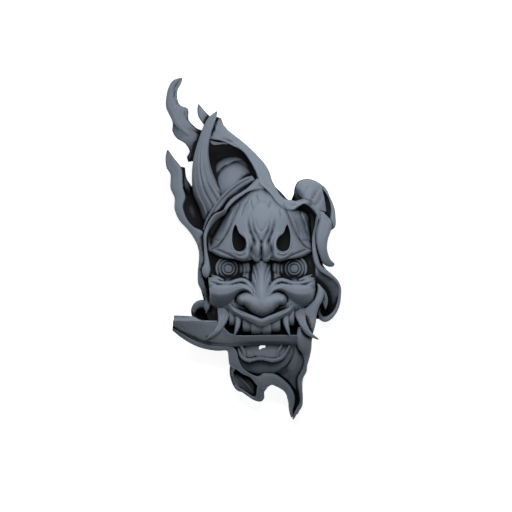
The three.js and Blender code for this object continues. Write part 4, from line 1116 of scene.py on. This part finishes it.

# %% [markdown]
# ## Painted shade in the creases
#
# Shade is painted into the resin's colour: its deep places are painted darker, where shade falls,
# and its edges get a painted highlight. An Ambient Occlusion node could find those places with rays
# at every render, which is slow, so their depth is measured once here. The heights are put on a
# map, the map is blurred, and a point that lies below its blurred surroundings gets a larger value
# and so more painted shade. One that stands above the finest map gets a smaller one, a painted
# highlight on the edge. The underside and the lower parts of the outer walls are made plain, though
# some dark bands are left on the walls.

# %% A map of heights
MAP_STEP = 0.5
MAP_LOW = np.array([155.0, 65.0])
MAP_SHAPE = (410, 740)


def box_blur(field, radius):
    """Mean over a square window, from running sums in both directions."""
    for axis in (0, 1):
        margins = [(radius + 1, radius) if k == axis else (0, 0) for k in (0, 1)]
        sums = np.cumsum(np.pad(field, margins, mode="edge"), axis=axis)
        hi = np.take(sums, range(2 * radius + 1, sums.shape[axis]), axis=axis)
        lo = np.take(sums, range(0, sums.shape[axis] - 2 * radius - 1), axis=axis)
        field = (hi - lo) / (2 * radius + 1)
    return field


def cells_of(points):
    """The map cell that each point falls in."""
    across = points[:, 0] / SQUARE + MIDDLE_ACROSS
    down = MIDDLE_DOWN - points[:, 1] / SQUARE
    return (
        ((across - MAP_LOW[0]) / MAP_STEP).astype(int),
        ((down - MAP_LOW[1]) / MAP_STEP).astype(int),
    )


def highest(*groups):
    """Map of the highest point in every cell."""
    heights = np.zeros(MAP_SHAPE)
    for points in groups:
        np.maximum.at(heights, cells_of(points), points[:, 2] / MM)
    return heights


points = np.zeros(len(mask.data.vertices) * 3)
mask.data.vertices.foreach_get("co", points)
points = points.reshape(-1, 3)
corners = np.zeros(len(mask.data.loop_triangles) * 3, dtype=np.int32)
mask.data.loop_triangles.foreach_get("vertices", corners)
corners = corners.reshape(-1, 3)
print("highest cell", highest(points).max().round(1), "mm")

# %% How deep each point lies
# Each map's blur radius in cells, the depth in millimetres that counts as full painted shade, and
# the height above it that still gets a painted highlight
BLURS = ((3, 4.0, 1.0), (8, 12.0, 0.0), (20, 26.0, 0.0), (44, 60.0, 0.0))
DEEPEST = 40


def painted_shading_values(points):
    """How far each point lies below the blurred maps, each as a share of its full depth."""
    cell = cells_of(points)
    heights = highest(points)
    known = (heights > 0).astype(float)
    total = np.zeros(len(points))
    for radius, full, above in BLURS:
        blurred, share = (box_blur(box_blur(field, radius), radius) for field in (heights, known))
        mean = blurred / np.maximum(share, 1e-9)
        total += np.clip(mean[cell] - points[:, 2] / MM, -above, DEEPEST) / full
    return total


# Shade painted into the colour: deeper points get more painted shade, raised edges a painted
# highlight
crease = painted_shading_values(points)
print("crease from", round(crease.min(), 2), "to", round(crease.max(), 2))

# %% Plain underside and outer walls
PLAIN_PAINTED_SHADING = 0.25
TRIANGLE_STEPS = 20
FLAT_BACK = 0.5
WALL_DROPS = (8.0, 13.0)
OUTLINE_RADIUS = 2
OUTLINE_SHARES = (0.92, 0.7)


def ramp(value, start, end):
    """Share from 0 at the start to 1 at the end, straight in between."""
    return np.clip((value - start) / (end - start), 0, 1)


def hidden_share(points, corners):
    """How surely a point is out of sight from the front: 1 on the underside and low on an outer
    wall. A wall's depth is measured from the highest surface within two cells, on a map that
    samples every triangle.
    """
    first, second, third = (points[corners[:, k]] for k in range(3))
    wide = np.ptp(np.stack([first, second, third]), axis=0)[:, :2].max(axis=1) > MAP_STEP * SQUARE
    first, second, third = first[wide], second[wide], third[wide]
    steps = [(i / TRIANGLE_STEPS, j / TRIANGLE_STEPS)
             for i in range(TRIANGLE_STEPS + 1) for j in range(TRIANGLE_STEPS + 1 - i)]
    samples = (first + (second - first) * u + (third - first) * v for u, v in steps)
    surface = highest(points, *samples)
    covered = (surface > 0).astype(float)
    for axis in (0, 1):
        surface = np.max([np.roll(surface, shift, axis) for shift in (-2, -1, 0, 1, 2)], axis=0)
    cell = cells_of(points)
    height = points[:, 2] / MM
    share = box_blur(box_blur(covered, OUTLINE_RADIUS), OUTLINE_RADIUS)[cell]
    wall = ramp(share, *OUTLINE_SHARES) * ramp(surface[cell] - height, *WALL_DROPS)
    return np.maximum(wall, height < FLAT_BACK)


hidden = hidden_share(points, corners)
# On hidden parts the painted shade is capped low
crease += hidden * (np.minimum(crease, PLAIN_PAINTED_SHADING) - crease)
mask.data.attributes.new("crease", "FLOAT", "POINT").data.foreach_set("value", crease)
print(f"{hidden.mean():.0%} of the points are plain")

# %% [markdown]
# ## The resin
#
# The mask is matt slate-grey resin. Its edges get a painted highlight and its creases painted
# shade, nearly black. Image textures would need a painted picture; the attribute of painted shade
# drives one mix of two colours instead. Shader maths is written as plain Python: each operator
# below adds one Math node.


# %% Shader sockets as numbers
class Socket:
    """One shader socket: +, - and * add a Math node each and return its output."""

    def __init__(self, tree, socket):
        self.tree = tree
        self.socket = socket

    @staticmethod
    def node(tree, kind, output, settings, values):
        """Any node: its settings first, then its inputs, linked to sockets or set to values."""
        made = tree.nodes.new(kind)
        for name, value in settings.items():
            setattr(made, name, value)
        for name, value in values.items():
            if isinstance(value, Socket):
                tree.links.new(value.socket, made.inputs[name])
            else:
                made.inputs[name].default_value = value
        return Socket(tree, made.outputs[output])

    def calculated(self, operation, other, clamp=False):
        """A Math node with this socket first and a number or another socket second."""
        settings = {"operation": operation, "use_clamp": clamp}
        return self.node(self.tree, "ShaderNodeMath", 0, settings, {0: self, 1: other})

    def __add__(self, other):
        return self.calculated("ADD", other)

    def __mul__(self, other):
        return self.calculated("MULTIPLY", other)

    def __sub__(self, other):
        return self.calculated("SUBTRACT", other)

    def __rsub__(self, other):
        return self.calculated("MULTIPLY", -1.0) + other

    __radd__ = __add__
    __rmul__ = __mul__

    def clamped(self):
        """The same value, kept between 0 and 1."""
        return self.calculated("ADD", 0.0, clamp=True)


print("a socket takes +, - and *, also with the number first")


# %% Plain materials
def plain_material(name, color, roughness):
    """A Principled material with one colour and one roughness; returns it with its shader."""
    made = bpy.data.materials.new(name)
    made.use_nodes = True
    shader = made.node_tree.nodes["Principled BSDF"]
    shader.inputs["Base Color"].default_value = color
    shader.inputs["Roughness"].default_value = roughness
    return made, shader


print("plain materials take a name, a colour and a roughness")

# %% The resin's two colours
# The lighter colour is the resin's grey and, on edges, its painted highlight; the nearly black one
# is painted shade for the creases
RESIN_GREY_AND_HIGHLIGHT = (0.206, 0.244, 0.296, 1)
PAINTED_SHADE_COLOR = (0.0112, 0.0116, 0.0134, 1)
BARE_SHARE = 0.11
BARE_DEPTH = 0.06
resin, shader = plain_material("mask_resin", RESIN_GREY_AND_HIGHLIGHT, 0.7)
shader.inputs["Specular IOR Level"].default_value = 0.12
tree = resin.node_tree
depth = Socket.node(tree, "ShaderNodeAttribute", "Fac", {"attribute_name": "crease"}, {})
# Flat surfaces get a little painted shade, deep places nearly all of it, and raised edges none,
# which paints their highlight
painted_shade_share = (BARE_SHARE + (1 - BARE_SHARE) * (depth - BARE_DEPTH)).clamped()
colors = {"Factor": painted_shade_share, "A": RESIN_GREY_AND_HIGHLIGHT, "B": PAINTED_SHADE_COLOR}
tone = Socket.node(tree, "ShaderNodeMix", "Result", {"data_type": "RGBA"}, colors)
tree.links.new(tone.socket, shader.inputs["Base Color"])
mask.data.materials.clear()
mask.data.materials.append(resin)
print(len(tree.nodes), "nodes in the resin")

# %% Tie the mask to the frame
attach(mask, "root")
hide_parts("oni_mask")
print(mask.name, "replaces the solid")

# %% [markdown]
# ## Floor, light and camera
#
# A product picture on white: a pale floor that glows a little, so that it stays white all over, a
# soft light close above the forehead that leaves the chin darker, and a second one from beyond the
# horns that lights the upper sides of the forms.

# %% The floor
bpy.ops.mesh.primitive_plane_add(size=6, location=(0, 0, -0.0005))
floor = bpy.context.object
floor.name = "floor"
white, white_shader = plain_material("floor_white", (0.9, 0.9, 0.9, 1), 0.9)
white_shader.inputs["Emission Color"].default_value = (1, 1, 1, 1)
white_shader.inputs["Emission Strength"].default_value = 0.9
floor.data.materials.append(white)
print("floor", tuple(round(v, 1) for v in floor.dimensions))

# %% The lights
LIGHT_TARGET = (0, 0, 0.04)


def area_light(name, location, size, power):
    """A square soft light: its -Z axis is turned from its place towards the target."""
    light = bpy.data.lights.new(name, "AREA")
    light.size = size
    light.energy = power
    made = bpy.data.objects.new(name, light)
    made.location = location
    way = Vector(LIGHT_TARGET) - Vector(location)
    made.rotation_euler = way.to_track_quat("-Z", "Y").to_euler()
    bpy.context.scene.collection.objects.link(made)


area_light("key", (0.03, 0.095, 0.40), 0.2, 0.98)
area_light("top", (0.0, 0.75, 0.45), 0.4, 2.2)
world = bpy.data.worlds.new("studio")
world.use_nodes = True
background = world.node_tree.nodes["Background"]
background.inputs["Color"].default_value = (1, 1, 1, 1)
background.inputs["Strength"].default_value = 0.07
bpy.context.scene.world = world
bpy.context.scene.view_settings.view_transform = "Standard"
print("two area lights and a faint white world")

# %% [markdown]
# The picture shows no perspective, so the camera is orthographic and looks straight down. The
# picture is 512 squares wide, which makes one square one pixel.

# %% The camera
PICTURE_SQUARES = 512
CAMERA_HEIGHT = 1200.0
camera = bpy.data.cameras.new("camera")
camera.type = "ORTHO"
camera.ortho_scale = PICTURE_SQUARES * SQUARE
viewer = bpy.data.objects.new("camera", camera)
viewer.location = place(PICTURE_SQUARES / 2, PICTURE_SQUARES / 2, CAMERA_HEIGHT)
bpy.context.scene.collection.objects.link(viewer)
bpy.context.scene.camera = viewer
print("view", round(camera.ortho_scale, 4), "m wide")
